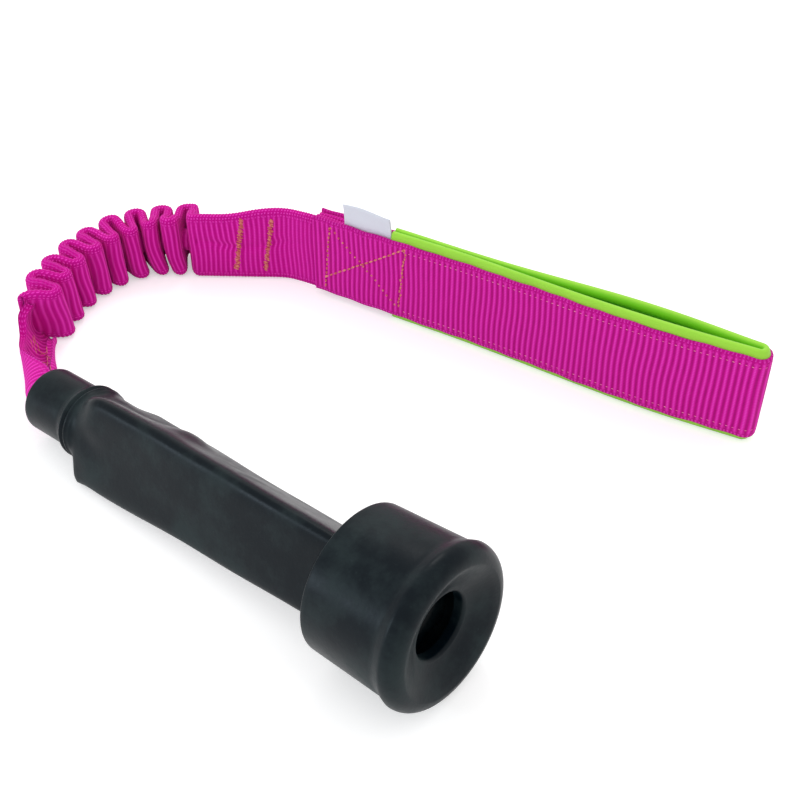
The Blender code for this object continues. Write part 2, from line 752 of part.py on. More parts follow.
def build_twist(pivot):
    line = twist_line()
    heights = twist_heights()
    depths, talls, rolls = twist_sizes()
    end = rounded_end(line, heights, rolls)
    item = rope("sleeve_twist", line[:-1] + end[0], heights[:-1] + end[1],
                depths[:-1] + end[2], talls[:-1] + end[2], magenta, pivot,
                rolls[:-1] + end[3], TWIST_SIDES)
    bore_line, bore_heights = resampled(line, heights, -CUT_OVERRUN, CORE_TAIL + CORE_CLEARANCE)
    bore_sizes = [CORE_RADIUS + CORE_CLEARANCE] * len(bore_line)
    bore = rope("twist_bore", bore_line, bore_heights, bore_sizes, bore_sizes, None, None)
    boolean(item, bore, "DIFFERENCE")
    tail_line, tail_heights = resampled(line, heights, 0, CORE_TAIL)
    tail_sizes = [CORE_RADIUS] * len(tail_line)
    rope("bungee_end", tail_line, tail_heights, tail_sizes, tail_sizes, bungee, pivot)
    build_twist_tack(line, heights, depths, talls, rolls, pivot)


def resampled(line, heights, first, last):
    """Points of the twisted end between two distances from its start."""
    along = (line[1] - line[0]).normalized()
    spots = [line[0] + along * min(first, 0)]
    levels = [heights[0]]
    travelled = 0
    for index in range(1, len(line)):
        step = (line[index] - line[index - 1]).length
        if travelled + step >= last:
            part = (last - travelled) / step
            spots.append(line[index - 1].lerp(line[index], part))
            levels.append(mix(heights[index - 1], heights[index], part))
            break
        travelled += step
        spots.append(line[index])
        levels.append(heights[index])
    return spots, levels


def rounded_end(line, heights, rolls):
    """Rings that close the rope in a ball round the neck pivot."""
    along = (line[-1] - line[-2]).normalized()
    spots = []
    sizes = []
    for angle in BALL_ANGLES:
        spots.append(line[-1] + along * ROPE_RADIUS * math.sin(angle))
        sizes.append(ROPE_RADIUS * math.cos(angle))
    count = len(spots)
    return spots, [heights[-1]] * count, sizes, [rolls[-1]] * count


def build_twist_tack(line, heights, depths, talls, rolls, pivot):
    """Row of stitches that holds the bungee's lower end, on the twisted end's near side."""
    first = round(TWIST_TACK_START_SHARE * TWIST_STEPS)
    last = round(TWIST_TACK_END_SHARE * TWIST_STEPS)
    normals = plan_normals(line)
    rings = []
    for index in range(first, last + 1):
        side = depths[index] * math.cos(TWIST_TACK_ANGLE)
        up = talls[index] * math.sin(TWIST_TACK_ANGLE)
        roll = rolls[index]
        out = Vector((side * math.cos(roll) - up * math.sin(roll),
                      side * math.sin(roll) + up * math.cos(roll)))
        out += out.normalized() * (2 * CLOTH_GAP + TWIST_TACK_RADIUS)
        centre = (line[index] + normals[index] * out.x).to_3d()
        centre += Vector((0, 0, heights[index] + out.y))
        rings.append(centre)
    thread("twist_tack", rings, TWIST_TACK_RADIUS, coral, pivot)


def thread(name, points, radius, material, pivot):
    """Thread through points, as a curve with filled caps."""
    curve = bpy.data.curves.new(name, "CURVE")
    curve.dimensions = "3D"
    curve.bevel_depth = radius
    curve.bevel_resolution = 1
    curve.use_fill_caps = True
    spline = curve.splines.new("POLY")
    spline.points.add(len(points) - 1)
    for spot, point in zip(spline.points, points):
        spot.co = (*point, 1)
    curve.materials.append(material)
    item = bpy.data.objects.new(name, curve)
    parts.objects.link(item)
    item.parent = pivot
    item.matrix_parent_inverse = pivot.matrix_world.inverted()
    return item


# Liner

def resting_tilt(place, radius):
    """Slope of the axis at which a ring of the liner just touches the ground."""
    return math.acos(NECK_HEIGHT / math.hypot(place, radius)) - math.atan2(place, radius)


def liner_tilt():
    """Slope that stands the head on the ground with the neck at its own height."""
    return max(resting_tilt(LINER_LENGTH - LIP_ROUND, HEAD_RADIUS),
               resting_tilt(LINER_LENGTH - HEAD_LENGTH, SKIRT_EDGE_RADIUS))


def liner_frame():
    """Matrix whose X axis is the liner's axis, from the centre of the neck mouth."""
    turn = Matrix.Rotation(LINER_HEADING, 4, "Z") @ Matrix.Rotation(-liner_tilt(), 4, "Y")
    return Matrix.Translation((*LINER_MOUTH, NECK_HEIGHT)) @ turn


def neck_pivot():
    return liner_frame() @ Vector((-ROPE_PIVOT_REACH, 0, 0))


def liner_profile():
    """Outline of the wall, once round, as distance, radius and share of the barrel's form."""
    barrel_start = NECK_LENGTH + 2 * RING_PITCH
    head_start = LINER_LENGTH - HEAD_LENGTH
    groove_end = head_start + SKIRT_GROOVE_DEPTH
    lip_centre = LINER_LENGTH - LIP_ROUND
    outline = [(0, NECK_BORE_RADIUS + RIM_ROUND, 0), (0, NECK_RADIUS - RIM_ROUND, 0),
               (RIM_ROUND, NECK_RADIUS, 0), (NECK_LENGTH - RING_PITCH, NECK_RADIUS, 0),
               (NECK_LENGTH - RING_PITCH / 2, (NECK_RADIUS + RING_RADIUS) / 2, 0),
               (NECK_LENGTH, RING_RADIUS, 0), (NECK_LENGTH + RING_PITCH / 2, RING_RADIUS, 0),
               (NECK_LENGTH + RING_PITCH, RING_RADIUS - RING_GROOVE, 0),
               (barrel_start - RING_PITCH / 2, RING_RADIUS, 0), (barrel_start, RING_RADIUS, 0)]
    for index in range(1, SHOULDER_STEPS):
        angle = math.pi / 2 * index / SHOULDER_STEPS
        outline.append((barrel_start + SHOULDER_RUN * (1 - math.cos(angle)),
                        mix(RING_RADIUS, BARREL_INRADIUS_NECK, math.sin(angle)), math.sin(angle)))
    outline += barrel_stations(barrel_start + SHOULDER_RUN, head_start, 0)
    outline += [(groove_end, BARREL_ROOT_RADIUS, 0),
                (groove_end, SKIRT_EDGE_RADIUS - SKIRT_WALL, 0),
                (head_start, SKIRT_EDGE_RADIUS - SKIRT_WALL, 0),
                (head_start, SKIRT_EDGE_RADIUS - RIM_ROUND, 0),
                (head_start + RIM_ROUND, SKIRT_EDGE_RADIUS, 0),
                (lip_centre - LIP_STEP_RUN, SKIRT_FRONT_RADIUS, 0)]
    for index in range(LIP_STEPS + 1):
        angle = math.pi / 2 * (1 - index / LIP_STEPS)
        outline.append((lip_centre + LIP_ROUND * math.cos(angle),
                        HEAD_RADIUS - LIP_ROUND + LIP_ROUND * math.sin(angle), 0))
    dish = LINER_LENGTH - FACE_DISH
    front_inside = LINER_LENGTH - FRONT_WALL
    chamber_end = groove_end + CHAMBER_FLOOR
    outline += [(dish, MOUTH_BORE_RADIUS + BORE_EDGE_ROUND, 0),
                (dish - BORE_EDGE_ROUND, MOUTH_BORE_RADIUS, 0),
                (front_inside, MOUTH_BORE_RADIUS, 0), (front_inside, CHAMBER_RADIUS, 0),
                (chamber_end, CHAMBER_RADIUS, 0),
                (chamber_end, BARREL_ROOT_RADIUS + CHAMBER_FUNNEL - BARREL_WALL, 0),
                (groove_end, BARREL_ROOT_RADIUS - BARREL_WALL, 0)]
    inside = barrel_stations(barrel_start + SHOULDER_RUN + BARREL_WALL, head_start, BARREL_WALL)
    outline += reversed(inside)
    outline += [(barrel_start, NECK_BORE_RADIUS, 0), (RIM_ROUND, NECK_BORE_RADIUS, 0)]
    return outline


def barrel_stations(first, last, inset):
    """Stations of the three-sided barrel between two distances, inset from its outside."""
    stations = []
    for index in range(BARREL_RINGS + 1):
        part = index / BARREL_RINGS
        inradius = mix(BARREL_INRADIUS_NECK, BARREL_INRADIUS_HEAD, part) - inset
        stations.append((mix(first, last, part), inradius, 1))
    return stations


def barrel_reach(angle):
    """Reach of the barrel's section, a triangle with round corners and inradius 1."""
    total = 0
    for face in range(BARREL_FACES):
        across = math.cos(angle - math.tau * face / BARREL_FACES)
        total += max(across, 0) ** BARREL_CREASE
    return total ** (-1 / BARREL_CREASE)


def liner_ring(frame, place, radius, barrel_share, sides=LINER_SIDES):
    ring = []
    for index in range(sides):
        angle = math.tau * index / sides
        reach = radius * mix(1, barrel_reach(angle), barrel_share)
        turned = angle + BARREL_ROLL
        ring.append(frame @ Vector((place, reach * math.cos(turned), reach * math.sin(turned))))
    return ring


def build_liner(pivot):
    """The moulded liner, with the sleeve's folded end jammed behind its neck."""
    frame = liner_frame()
    rings = [liner_ring(frame, *station) for station in liner_profile()]
    loft("rubber_liner", rings, rubber, pivot, closed=True)
    barrel_start = NECK_LENGTH + 2 * RING_PITCH
    seat = barrel_start + SHOULDER_RUN + BARREL_WALL + WAD_SEAT_GAP
    rope_radius = NECK_BORE_RADIUS - CLOTH_GAP
    stations = [(0, rope_radius, 0), (barrel_start, rope_radius, 0),
                (seat, WAD_INRADIUS - WAD_ROUND, 1), (seat + WAD_ROUND, WAD_INRADIUS, 1),
                (seat + WAD_LENGTH - WAD_ROUND, WAD_INRADIUS, 1),
                (seat + WAD_LENGTH, WAD_INRADIUS - WAD_ROUND, 1)]
    loft("sleeve_tail", [liner_ring(frame, *station) for station in stations], magenta, pivot)
    lift = WAD_INRADIUS + CLOTH_GAP + THREAD_WIDTH / 2
    middle = seat + WAD_LENGTH / 2
    row = [frame @ Vector((middle + shift, lift * math.cos(BARREL_ROLL),
                           lift * math.sin(BARREL_ROLL)))
           for shift in (-WAD_TACK_LENGTH / 2, WAD_TACK_LENGTH / 2)]
    thread("tail_stitch", row, THREAD_WIDTH / 2, coral, pivot)


# Construction of the whole toy

def first_fold(group):
    """Fold number at which a rigid group of gathers begins, in the middle of a far hump."""
    return 1 / 2 + group * FOLDS_PER_GROUP


def hump_edge(folds):
    """Plan point on the outer edge of a far hump, where the sleeve flexes."""
    return gather_place(gather_distance(folds), swing(folds) + FOLD_THICK_FAR / 2).to_3d()


def build_sleeve(pivot):
    """Strap, four groups of gathers, the bungee inside them and the twisted end."""
    strap_pivot = new_pivot("strap_pivot", STRAP_PIVOT.to_3d(), pivot)
    build_strap(strap_pivot)
    build_core("bungee_anchor", -ANCHOR_LENGTH + CORE_CLEARANCE,
               gather_distance(first_fold(0)) - CORE_END_GAP, strap_pivot, anchored=True)
    pivot = strap_pivot
    for group in range(GROUP_COUNT):
        pivot = new_pivot(f"gathers_{group + 1}_pivot", hump_edge(first_fold(group)), pivot)
        build_gathers(group, pivot)
        if group % 2 == 0:
            build_core(f"bungee_core_{group // 2 + 1}",
                       gather_distance(first_fold(group)) + CORE_END_GAP,
                       gather_distance(first_fold(group + 2)) - CORE_END_GAP, pivot)
    twist_pivot = new_pivot("twist_pivot", hump_edge(first_fold(GROUP_COUNT)), pivot)
    build_twist(twist_pivot)
    return twist_pivot


def rest_on_ground(root):
    """Moves the whole toy so that its box stands on the origin."""
    bpy.context.view_layer.update()
    graph = bpy.context.evaluated_depsgraph_get()
    corners = []
    for item in parts.objects:
        if item.type != "EMPTY":
            seen = item.evaluated_get(graph)
            mesh = seen.to_mesh()
            corners += [seen.matrix_world @ vertex.co for vertex in mesh.vertices]
            seen.to_mesh_clear()
    lows = [min(corner[axis] for corner in corners) for axis in range(3)]
    highs = [max(corner[axis] for corner in corners) for axis in range(3)]
    middle = Vector(((lows[0] + highs[0]) / 2, (lows[1] + highs[1]) / 2, lows[2]))
    root.location -= middle
    for cutter in cutters.objects:
        cutter.location -= middle


GATHERS = gather_centre()
clear_scene()
parts = new_collection(PART_NAME)
cutters = new_collection("cutters")
magenta = new_material("magenta webbing", MAGENTA, CLOTH_ROUGHNESS)
lime = new_material("lime padding", LIME, CLOTH_ROUGHNESS)
stitch_green = new_material("green thread", STITCH_GREEN, CLOTH_ROUGHNESS)
coral = new_material("coral thread", STITCH_CORAL, CLOTH_ROUGHNESS)
rubber = new_material("black rubber", RUBBER, RUBBER_ROUGHNESS)
white = new_material("white label", LABEL_WHITE, CLOTH_ROUGHNESS)
foam = new_material("foam", FOAM_GREY, CLOTH_ROUGHNESS)
bungee = new_material("bungee", BUNGEE_BLACK, CLOTH_ROUGHNESS)

toy = new_pivot("toy", (0, 0, 0), None)
build_hand_loop(toy)
build_root(toy)
twist_pivot = build_sleeve(toy)
build_liner(new_pivot("liner_pivot", neck_pivot(), twist_pivot))
rest_on_ground(toy)
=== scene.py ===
"""Bungee tug toy as it lies in the photograph: rubber liner, gathered bungee sleeve, hand loop.

Lengths are metres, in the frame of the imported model: +Z up, the toy lying on z = 0.
"""
import math
import random

import bmesh
import bpy
from mathutils import Matrix, Vector


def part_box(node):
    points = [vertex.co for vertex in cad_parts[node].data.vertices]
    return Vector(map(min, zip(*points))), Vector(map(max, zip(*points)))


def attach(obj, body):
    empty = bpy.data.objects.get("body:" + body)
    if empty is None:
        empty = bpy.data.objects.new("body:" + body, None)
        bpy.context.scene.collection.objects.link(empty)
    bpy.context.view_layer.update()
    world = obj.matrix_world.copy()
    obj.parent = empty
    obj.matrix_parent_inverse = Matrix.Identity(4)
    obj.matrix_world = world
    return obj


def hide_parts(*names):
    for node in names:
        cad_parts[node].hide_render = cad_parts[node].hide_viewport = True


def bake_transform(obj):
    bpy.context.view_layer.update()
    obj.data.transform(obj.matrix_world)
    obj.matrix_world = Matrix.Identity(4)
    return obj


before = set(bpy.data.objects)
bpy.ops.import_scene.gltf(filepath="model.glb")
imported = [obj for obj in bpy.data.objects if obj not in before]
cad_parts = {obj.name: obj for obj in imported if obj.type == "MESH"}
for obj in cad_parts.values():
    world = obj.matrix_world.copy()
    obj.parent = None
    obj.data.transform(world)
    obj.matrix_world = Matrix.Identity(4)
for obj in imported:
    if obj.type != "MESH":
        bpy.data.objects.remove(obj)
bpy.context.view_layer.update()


# Camera
# A product shot taken from above the liner's head, looking along the toy. The lens is a
# short telephoto on a square frame.
CAMERA_PLACE = Vector((0.22668, -0.30467, 0.3367))
CAMERA_HEADING = math.radians(120.785)
CAMERA_PITCH = math.radians(39.48)
CAMERA_LENS = 56.07
CAMERA_SENSOR = 36
CAMERA_NEAR = 0.01

camera = bpy.data.objects.new("camera", bpy.data.cameras.new("camera"))
camera.data.lens = CAMERA_LENS
camera.data.sensor_width = CAMERA_SENSOR
camera.data.clip_start = CAMERA_NEAR
camera.location = CAMERA_PLACE
camera.rotation_euler = (math.pi / 2 - CAMERA_PITCH, 0, CAMERA_HEADING - math.pi / 2)
bpy.context.scene.collection.objects.link(camera)
bpy.context.scene.camera = camera
bpy.context.scene.view_settings.view_transform = "Standard"


# Studio
# A white sweep under an even white sky, with a soft lamp behind and a smaller, cooler one on
# the left for the rubber's highlights. A Finish is a material in the making, and a Signal is a
# number that varies over it.
FLOOR_SIZE = 6.0
FLOOR_WHITE = 0.80
FLOOR_ROUGHNESS = 0.9
FLOOR_LIFT = 0.45
SKY_STRENGTH = 1.0
LAMPS = [("back lamp", Vector((-0.35, 0.75, 1.15)), 0.45, 3.5, (1.0, 1.0, 1.0)),
         ("left lamp", Vector((-0.76, -0.76, 0.30)), 0.20, 2.2, (0.70, 0.86, 1.0))]
LAMP_AIM = Vector((0.0, 0.0, 0.02))


class Signal:
    """An output socket whose Python operators add Math nodes."""

    def __init__(self, finish, socket):
        self.finish = finish
        self.socket = socket

    def math(self, operation, *others):
        inputs = {index: value for index, value in enumerate((self, *others))}
        return self.finish.node("ShaderNodeMath", {"operation": operation}, inputs)

    def __add__(self, other):
        return self.math("ADD", other)

    def __sub__(self, other):
        return self.math("SUBTRACT", other)

    def __rsub__(self, other):
        return self.math("MULTIPLY_ADD", -1.0, other)

    def __mul__(self, other):
        return self.math("MULTIPLY", other)

    def __pow__(self, other):
        return self.math("POWER", other)

    def between(self, low, high):
        """Smooth step that is 0 at low and 1 at high."""
        settings = {"interpolation_type": "SMOOTHSTEP"}
        inputs = {"Value": self, "From Min": low, "From Max": high}
        return self.finish.node("ShaderNodeMapRange", settings, inputs)


class Finish:
    """A material with its Principled shader, and one method that adds any other node."""

    def __init__(self, name, colour, roughness, specular=0.5, sheen=0):
        self.material = bpy.data.materials.new(name)
        self.material.use_nodes = True
        self.tree = self.material.node_tree
        self.shader = self.tree.nodes["Principled BSDF"]
        self.shader.inputs["Base Color"].default_value = (*colour, 1)
        self.shader.inputs["Roughness"].default_value = roughness
        self.shader.inputs["Specular IOR Level"].default_value = specular
        self.shader.inputs["Sheen Weight"].default_value = sheen

    def feed(self, socket, value):
        if isinstance(value, Signal):
            self.tree.links.new(value.socket, socket)
        elif isinstance(value, tuple) and len(value) < len(socket.default_value):
            socket.default_value = (*value, 1)
        else:
            socket.default_value = value

    def node(self, kind, settings=None, inputs=None, output=0):
        node = self.tree.nodes.new(kind)
        for name, value in (settings or {}).items():
            setattr(node, name, value)
        for name, value in (inputs or {}).items():
            self.feed(node.inputs[name], value)
        return Signal(self, node.outputs[output])

    def set(self, name, value):
        self.feed(self.shader.inputs[name], value)

    def blend(self, amount, first, second):
        """Colour between first and second."""
        mixed = self.tree.nodes.new("ShaderNodeMix")
        mixed.data_type = "RGBA"
        self.feed(mixed.inputs["Factor"], amount)
        self.feed(mixed.inputs[6], first)
        self.feed(mixed.inputs[7], second)
        return Signal(self, mixed.outputs[2])

    def noise(self, place, scale, detail=2.0, roughness=0.5):
        inputs = {"Vector": place, "Scale": scale, "Detail": detail, "Roughness": roughness}
        return self.node("ShaderNodeTexNoise", {"noise_dimensions": "3D"}, inputs)

    def place(self):
        """Object coordinates, which are the toy's own frame."""
        return self.node("ShaderNodeTexCoord", output="Object")

    def along_cloth(self):
        """Distances along and round a cloth, from its own map."""
        uv = self.node("ShaderNodeUVMap", {"uv_map": "cloth"})
        split = self.tree.nodes.new("ShaderNodeSeparateXYZ")
        self.feed(split.inputs[0], uv)
        return Signal(self, split.outputs[0]), Signal(self, split.outputs[1])

    def bump(self, height, distance, strength=1.0):
        inputs = {"Height": height, "Distance": distance, "Strength": strength}
        self.set("Normal", self.node("ShaderNodeBump", None, inputs))


floor_finish = Finish("studio floor", (FLOOR_WHITE,) * 3, FLOOR_ROUGHNESS, specular=0.0)
seen = (floor_finish.node("ShaderNodeLightPath", output="Is Camera Ray")
        + floor_finish.node("ShaderNodeLightPath", output="Is Glossy Ray"))
glow = floor_finish.tree.nodes.new("ShaderNodeEmission")
floor_finish.feed(glow.inputs["Strength"], seen * FLOOR_LIFT)
joined = floor_finish.tree.nodes.new("ShaderNodeAddShader")
output = floor_finish.tree.nodes["Material Output"]
for first, last in ((floor_finish.shader.outputs[0], joined.inputs[0]),
                    (glow.outputs[0], joined.inputs[1]),
                    (joined.outputs[0], output.inputs["Surface"])):
    floor_finish.tree.links.new(first, last)

sweep = bmesh.new()
bmesh.ops.create_grid(sweep, x_segments=1, y_segments=1, size=FLOOR_SIZE)
floor_mesh = bpy.data.meshes.new("floor")
sweep.to_mesh(floor_mesh)
sweep.free()
floor_mesh.materials.append(floor_finish.material)
floor = bpy.data.objects.new("floor", floor_mesh)
bpy.context.scene.collection.objects.link(floor)

world = bpy.data.worlds.new("sky")
world.use_nodes = True
bpy.context.scene.world = world
background = world.node_tree.nodes["Background"]
background.inputs["Color"].default_value = (1, 1, 1, 1)
background.inputs["Strength"].default_value = SKY_STRENGTH

for name, place, size, power, tint in LAMPS:
    lamp = bpy.data.objects.new(name, bpy.data.lights.new(name, "AREA"))
    lamp.data.shape = "DISK"
    lamp.data.size = size
    lamp.data.energy = power
    lamp.data.color = tint
    lamp.location = place
    lamp.rotation_euler = (LAMP_AIM - place).to_track_quat("-Z", "Y").to_euler()
    bpy.context.scene.collection.objects.link(lamp)


# Rubber liner
# A moulded black rubber cup liner: a plain neck tube with a double ring, a barrel with three
# rounded sides, and a head whose skirt folds back over the barrel and ends in a soft lip.
LINER_LENGTH = 0.2095
LINER_HEADING = math.radians(-9.7)
LINER_MOUTH = Vector((-0.09352, -0.04227, 0.015))
NECK_RADIUS = 0.0133
NECK_BORE_RADIUS = 0.0071
NECK_LENGTH = 0.0245
RIM_ROUND = 0.0008
RING_RADIUS = 0.0153
RING_GROOVE = 0.0008
RING_PITCH = 0.0028
BARREL_INRADIUS_NECK = 0.0138
BARREL_INRADIUS_HEAD = 0.0114
BARREL_ROOT_RADIUS = 0.0150
BARREL_WALL = 0.0026
BARREL_FACES = 3
BARREL_CREASE = 4
BARREL_ROLL = math.radians(43)
SHOULDER_RUN = 0.004
UPPER_SHOULDER_RUN = 0.014
UPPER_SHOULDER_SIDE = (-0.9, 0.3)
HEAD_RADIUS = 0.030
SKIRT_FRONT_RADIUS = 0.0286
SKIRT_EDGE_RADIUS = 0.0276
SKIRT_WALL = 0.0034
HEAD_LENGTH = 0.0415
SKIRT_GROOVE_DEPTH = 0.020
LIP_ROUND = 0.006
LIP_STEP_RUN = 0.004
FACE_DISH = 0.0052
MOUTH_BORE_RADIUS = 0.0118
BORE_EDGE_ROUND = 0.0016
FRONT_WALL = 0.0095
CHAMBER_RADIUS = 0.021
CHAMBER_FUNNEL = 0.004
CHAMBER_FLOOR = 0.004
LINER_STEPS = 144
LINER_RUN = 0.0015
ARC_STEPS = 8
BARREL_LUMPS = [(0.050, 0.1, 0.010, -0.0015), (0.078, 0.2, 0.011, 0.0028),
                (0.038, 0.7, 0.008, -0.0009)]
LUMP_SPREAD = 0.6
SWELL_RATE = 52
SWELL_HEIGHTS = (0.00022, 0.00012)
CRIMP_PLACE = 0.040
CRIMP_RUN = 0.006
CRIMP_HEIGHT = 0.0005
SHARP_ANGLE = math.radians(50)
WELD = 0.000001
CLOUD_SCALE = 45.0
GRAIN_SCALE = 160.0
FLECK_SCALE = 700.0
RUBBER_DARK = (0.0006, 0.0040, 0.0072)
RUBBER_WORN = (0.0155, 0.0260, 0.0280)
RUBBER_ROUGHNESS = 0.34


def mix(first, second, part):
    return first + (second - first) * part


def share(value, low, high):
    return min(max((value - low) / (high - low), 0), 1)


def ease(value):
    return value * value * (3 - 2 * value)


def resting_tilt(place, radius):
    """Slope of the liner's axis at which one of its rings just touches the ground."""
    return math.acos(LINER_MOUTH.z / math.hypot(place, radius)) - math.atan2(place, radius)


def liner_frame():
    """Matrix whose X axis is the liner's axis, from the centre of the neck's mouth."""
    tilt = max(resting_tilt(LINER_LENGTH - LIP_ROUND, HEAD_RADIUS),
               resting_tilt(LINER_LENGTH - HEAD_LENGTH, SKIRT_EDGE_RADIUS))
    turn = Matrix.Rotation(LINER_HEADING, 4, "Z") @ Matrix.Rotation(-tilt, 4, "Y")
    return Matrix.Translation(LINER_MOUTH) @ turn


def arc(centre, radius, first, last, steps=ARC_STEPS):
    """Points of a round stretch of the profile, between two angles in degrees."""
    spots = []
    for index in range(steps + 1):
        angle = math.radians(mix(first, last, index / steps))
        spots.append((centre[0] + radius * math.cos(angle), centre[1] + radius * math.sin(angle)))
    return spots


def liner_profile():
    """Closed outline of the wall as distance along the axis and radius."""
    barrel_start = NECK_LENGTH + 2 * RING_PITCH
    head_start = LINER_LENGTH - HEAD_LENGTH
    groove_end = head_start + SKIRT_GROOVE_DEPTH
    lip_centre = LINER_LENGTH - LIP_ROUND
    rim = RIM_ROUND
    half_ring = RING_PITCH / 2
    outline = arc((rim, NECK_BORE_RADIUS + rim), rim, 270, 180, 3)
    outline += arc((rim, NECK_RADIUS - rim), rim, 180, 90, 3)
    outline += [(NECK_LENGTH - RING_PITCH, NECK_RADIUS)]
    for ring in range(2):
        middle = NECK_LENGTH + half_ring / 2 + ring * RING_PITCH
        outline += [(middle - half_ring, RING_RADIUS - RING_GROOVE)]
        outline += arc((middle, RING_RADIUS - RING_GROOVE), RING_GROOVE, 150, 30, 4)
    outline += [(barrel_start, RING_RADIUS - RING_GROOVE / 2)]
    outline += [(barrel_start + SHOULDER_RUN * (1 - math.cos(angle)),
                 mix(RING_RADIUS, BARREL_INRADIUS_NECK, math.sin(angle)))
                for angle in (math.radians(30), math.radians(60))]
    outline += [(barrel_start + SHOULDER_RUN, BARREL_INRADIUS_NECK),
                (head_start, BARREL_INRADIUS_HEAD), (groove_end, BARREL_ROOT_RADIUS),
                (groove_end, SKIRT_EDGE_RADIUS - SKIRT_WALL)]
    outline += arc((head_start + rim, SKIRT_EDGE_RADIUS - SKIRT_WALL + rim), rim, 270, 180, 3)
    outline += arc((head_start + rim, SKIRT_EDGE_RADIUS - rim), rim, 180, 90, 3)
    outline += [(lip_centre - LIP_STEP_RUN, SKIRT_FRONT_RADIUS),
                (lip_centre - LIP_STEP_RUN / 2, mix(SKIRT_FRONT_RADIUS, HEAD_RADIUS, 1 / 2))]
    outline += arc((lip_centre, HEAD_RADIUS - LIP_ROUND), LIP_ROUND, 90, 0, 2 * ARC_STEPS)
    dish = LINER_LENGTH - FACE_DISH
    front_inside = LINER_LENGTH - FRONT_WALL
    outline += arc((dish - BORE_EDGE_ROUND, MOUTH_BORE_RADIUS + BORE_EDGE_ROUND),
                   BORE_EDGE_ROUND, 0, -90, ARC_STEPS)
    outline += [(front_inside, MOUTH_BORE_RADIUS), (front_inside, CHAMBER_RADIUS),
                (groove_end + CHAMBER_FLOOR, CHAMBER_RADIUS),
                (groove_end + CHAMBER_FLOOR, BARREL_ROOT_RADIUS + CHAMBER_FUNNEL - BARREL_WALL),
                (groove_end, BARREL_ROOT_RADIUS - BARREL_WALL),
                (head_start, BARREL_INRADIUS_HEAD - BARREL_WALL),
                (barrel_start + SHOULDER_RUN + BARREL_WALL, BARREL_INRADIUS_NECK - BARREL_WALL),
                (barrel_start, NECK_BORE_RADIUS)]
    return outline


def barrel_reach(angle):
    """Reach of the barrel's section, a triangle with round corners and inradius 1."""
    total = 0
    for face in range(BARREL_FACES):
        total += max(math.cos(angle - math.tau * face / BARREL_FACES), 0) ** BARREL_CREASE
    return total ** (-1 / BARREL_CREASE)


def barrel_share(distance, angle):
    """How far the section is three-sided. Its upper crests rise slowly from the shoulder."""
    start = NECK_LENGTH + 2 * RING_PITCH
    head = LINER_LENGTH - HEAD_LENGTH
    upper = ease(share(math.cos(angle), *UPPER_SHOULDER_SIDE))
    run = mix(SHOULDER_RUN, UPPER_SHOULDER_RUN, upper)
    rise = math.sin(math.pi / 2 * share(distance, start, start + run))
    return rise * (1 - share(distance, head, head + SKIRT_GROOVE_DEPTH))


def liner_wear(distance, angle):
    """Swells and dents of the soft barrel.

    Each lump is given by its distance, angle, length and height.
    """
    along = distance * SWELL_RATE
    swell = math.sin(along + 2 * math.sin(angle)) * SWELL_HEIGHTS[0]
    swell += math.sin(2.3 * along + 2 * angle) * SWELL_HEIGHTS[1]
    crimp = math.exp(-((distance - CRIMP_PLACE) / CRIMP_RUN) ** 2) * math.sin(5 * angle + 1)
    for place, middle, run, height in BARREL_LUMPS:
        off = math.remainder(angle - middle, math.tau)
        swell += height * math.exp(-((distance - place) / run) ** 2 - (off / LUMP_SPREAD) ** 2)
    return (swell + crimp * CRIMP_HEIGHT) * barrel_share(distance, angle)


def new_piece(name, shape, finish):
    """Links a finished bmesh as a smooth piece with one material."""
    mesh = bpy.data.meshes.new(name)
    shape.to_mesh(mesh)
    shape.free()
    mesh.shade_smooth()
    mesh.materials.append(finish.material)
    piece = bpy.data.objects.new(name, mesh)
    bpy.context.scene.collection.objects.link(piece)
    return piece


def build_liner(finish):
    shape = bmesh.new()
    outline = liner_profile()
    spots = [shape.verts.new((distance, radius, 0)) for distance, radius in outline]
    edges = [shape.edges.new(pair) for pair in zip(spots, spots[1:] + spots[:1])]
    for edge in list(edges):
        run = abs(edge.verts[0].co.x - edge.verts[1].co.x)
        cuts = int(run / LINER_RUN)
        if cuts:
            made = bmesh.ops.subdivide_edges(shape, edges=[edge], cuts=cuts)
            edges += [item for item in made["geom_inner"] if isinstance(item, bmesh.types.BMEdge)]
    bmesh.ops.spin(shape, geom=shape.verts[:] + shape.edges[:], cent=(0, 0, 0), axis=(1, 0, 0),
                   angle=math.tau, steps=LINER_STEPS, use_merge=True)
    bmesh.ops.remove_doubles(shape, verts=shape.verts, dist=WELD)
    for vert in shape.verts:
        radius = math.hypot(vert.co.y, vert.co.z)
        angle = math.atan2(vert.co.z, vert.co.y)
        inner_head = radius > CHAMBER_RADIUS - RIM_ROUND
        part = 0 if inner_head else barrel_share(vert.co.x, angle)
        reach = radius * mix(1, barrel_reach(angle), part)
        if not inner_head:
            reach += liner_wear(vert.co.x, angle)
        turned = angle + BARREL_ROLL
        vert.co = (vert.co.x, reach * math.cos(turned), reach * math.sin(turned))
    bmesh.ops.transform(shape, matrix=liner_frame(), verts=shape.verts)
    bmesh.ops.recalc_face_normals(shape, faces=shape.faces)
    piece = new_piece("liner_rubber", shape, finish)
    piece.data.set_sharp_from_angle(angle=SHARP_ANGLE)
    return piece


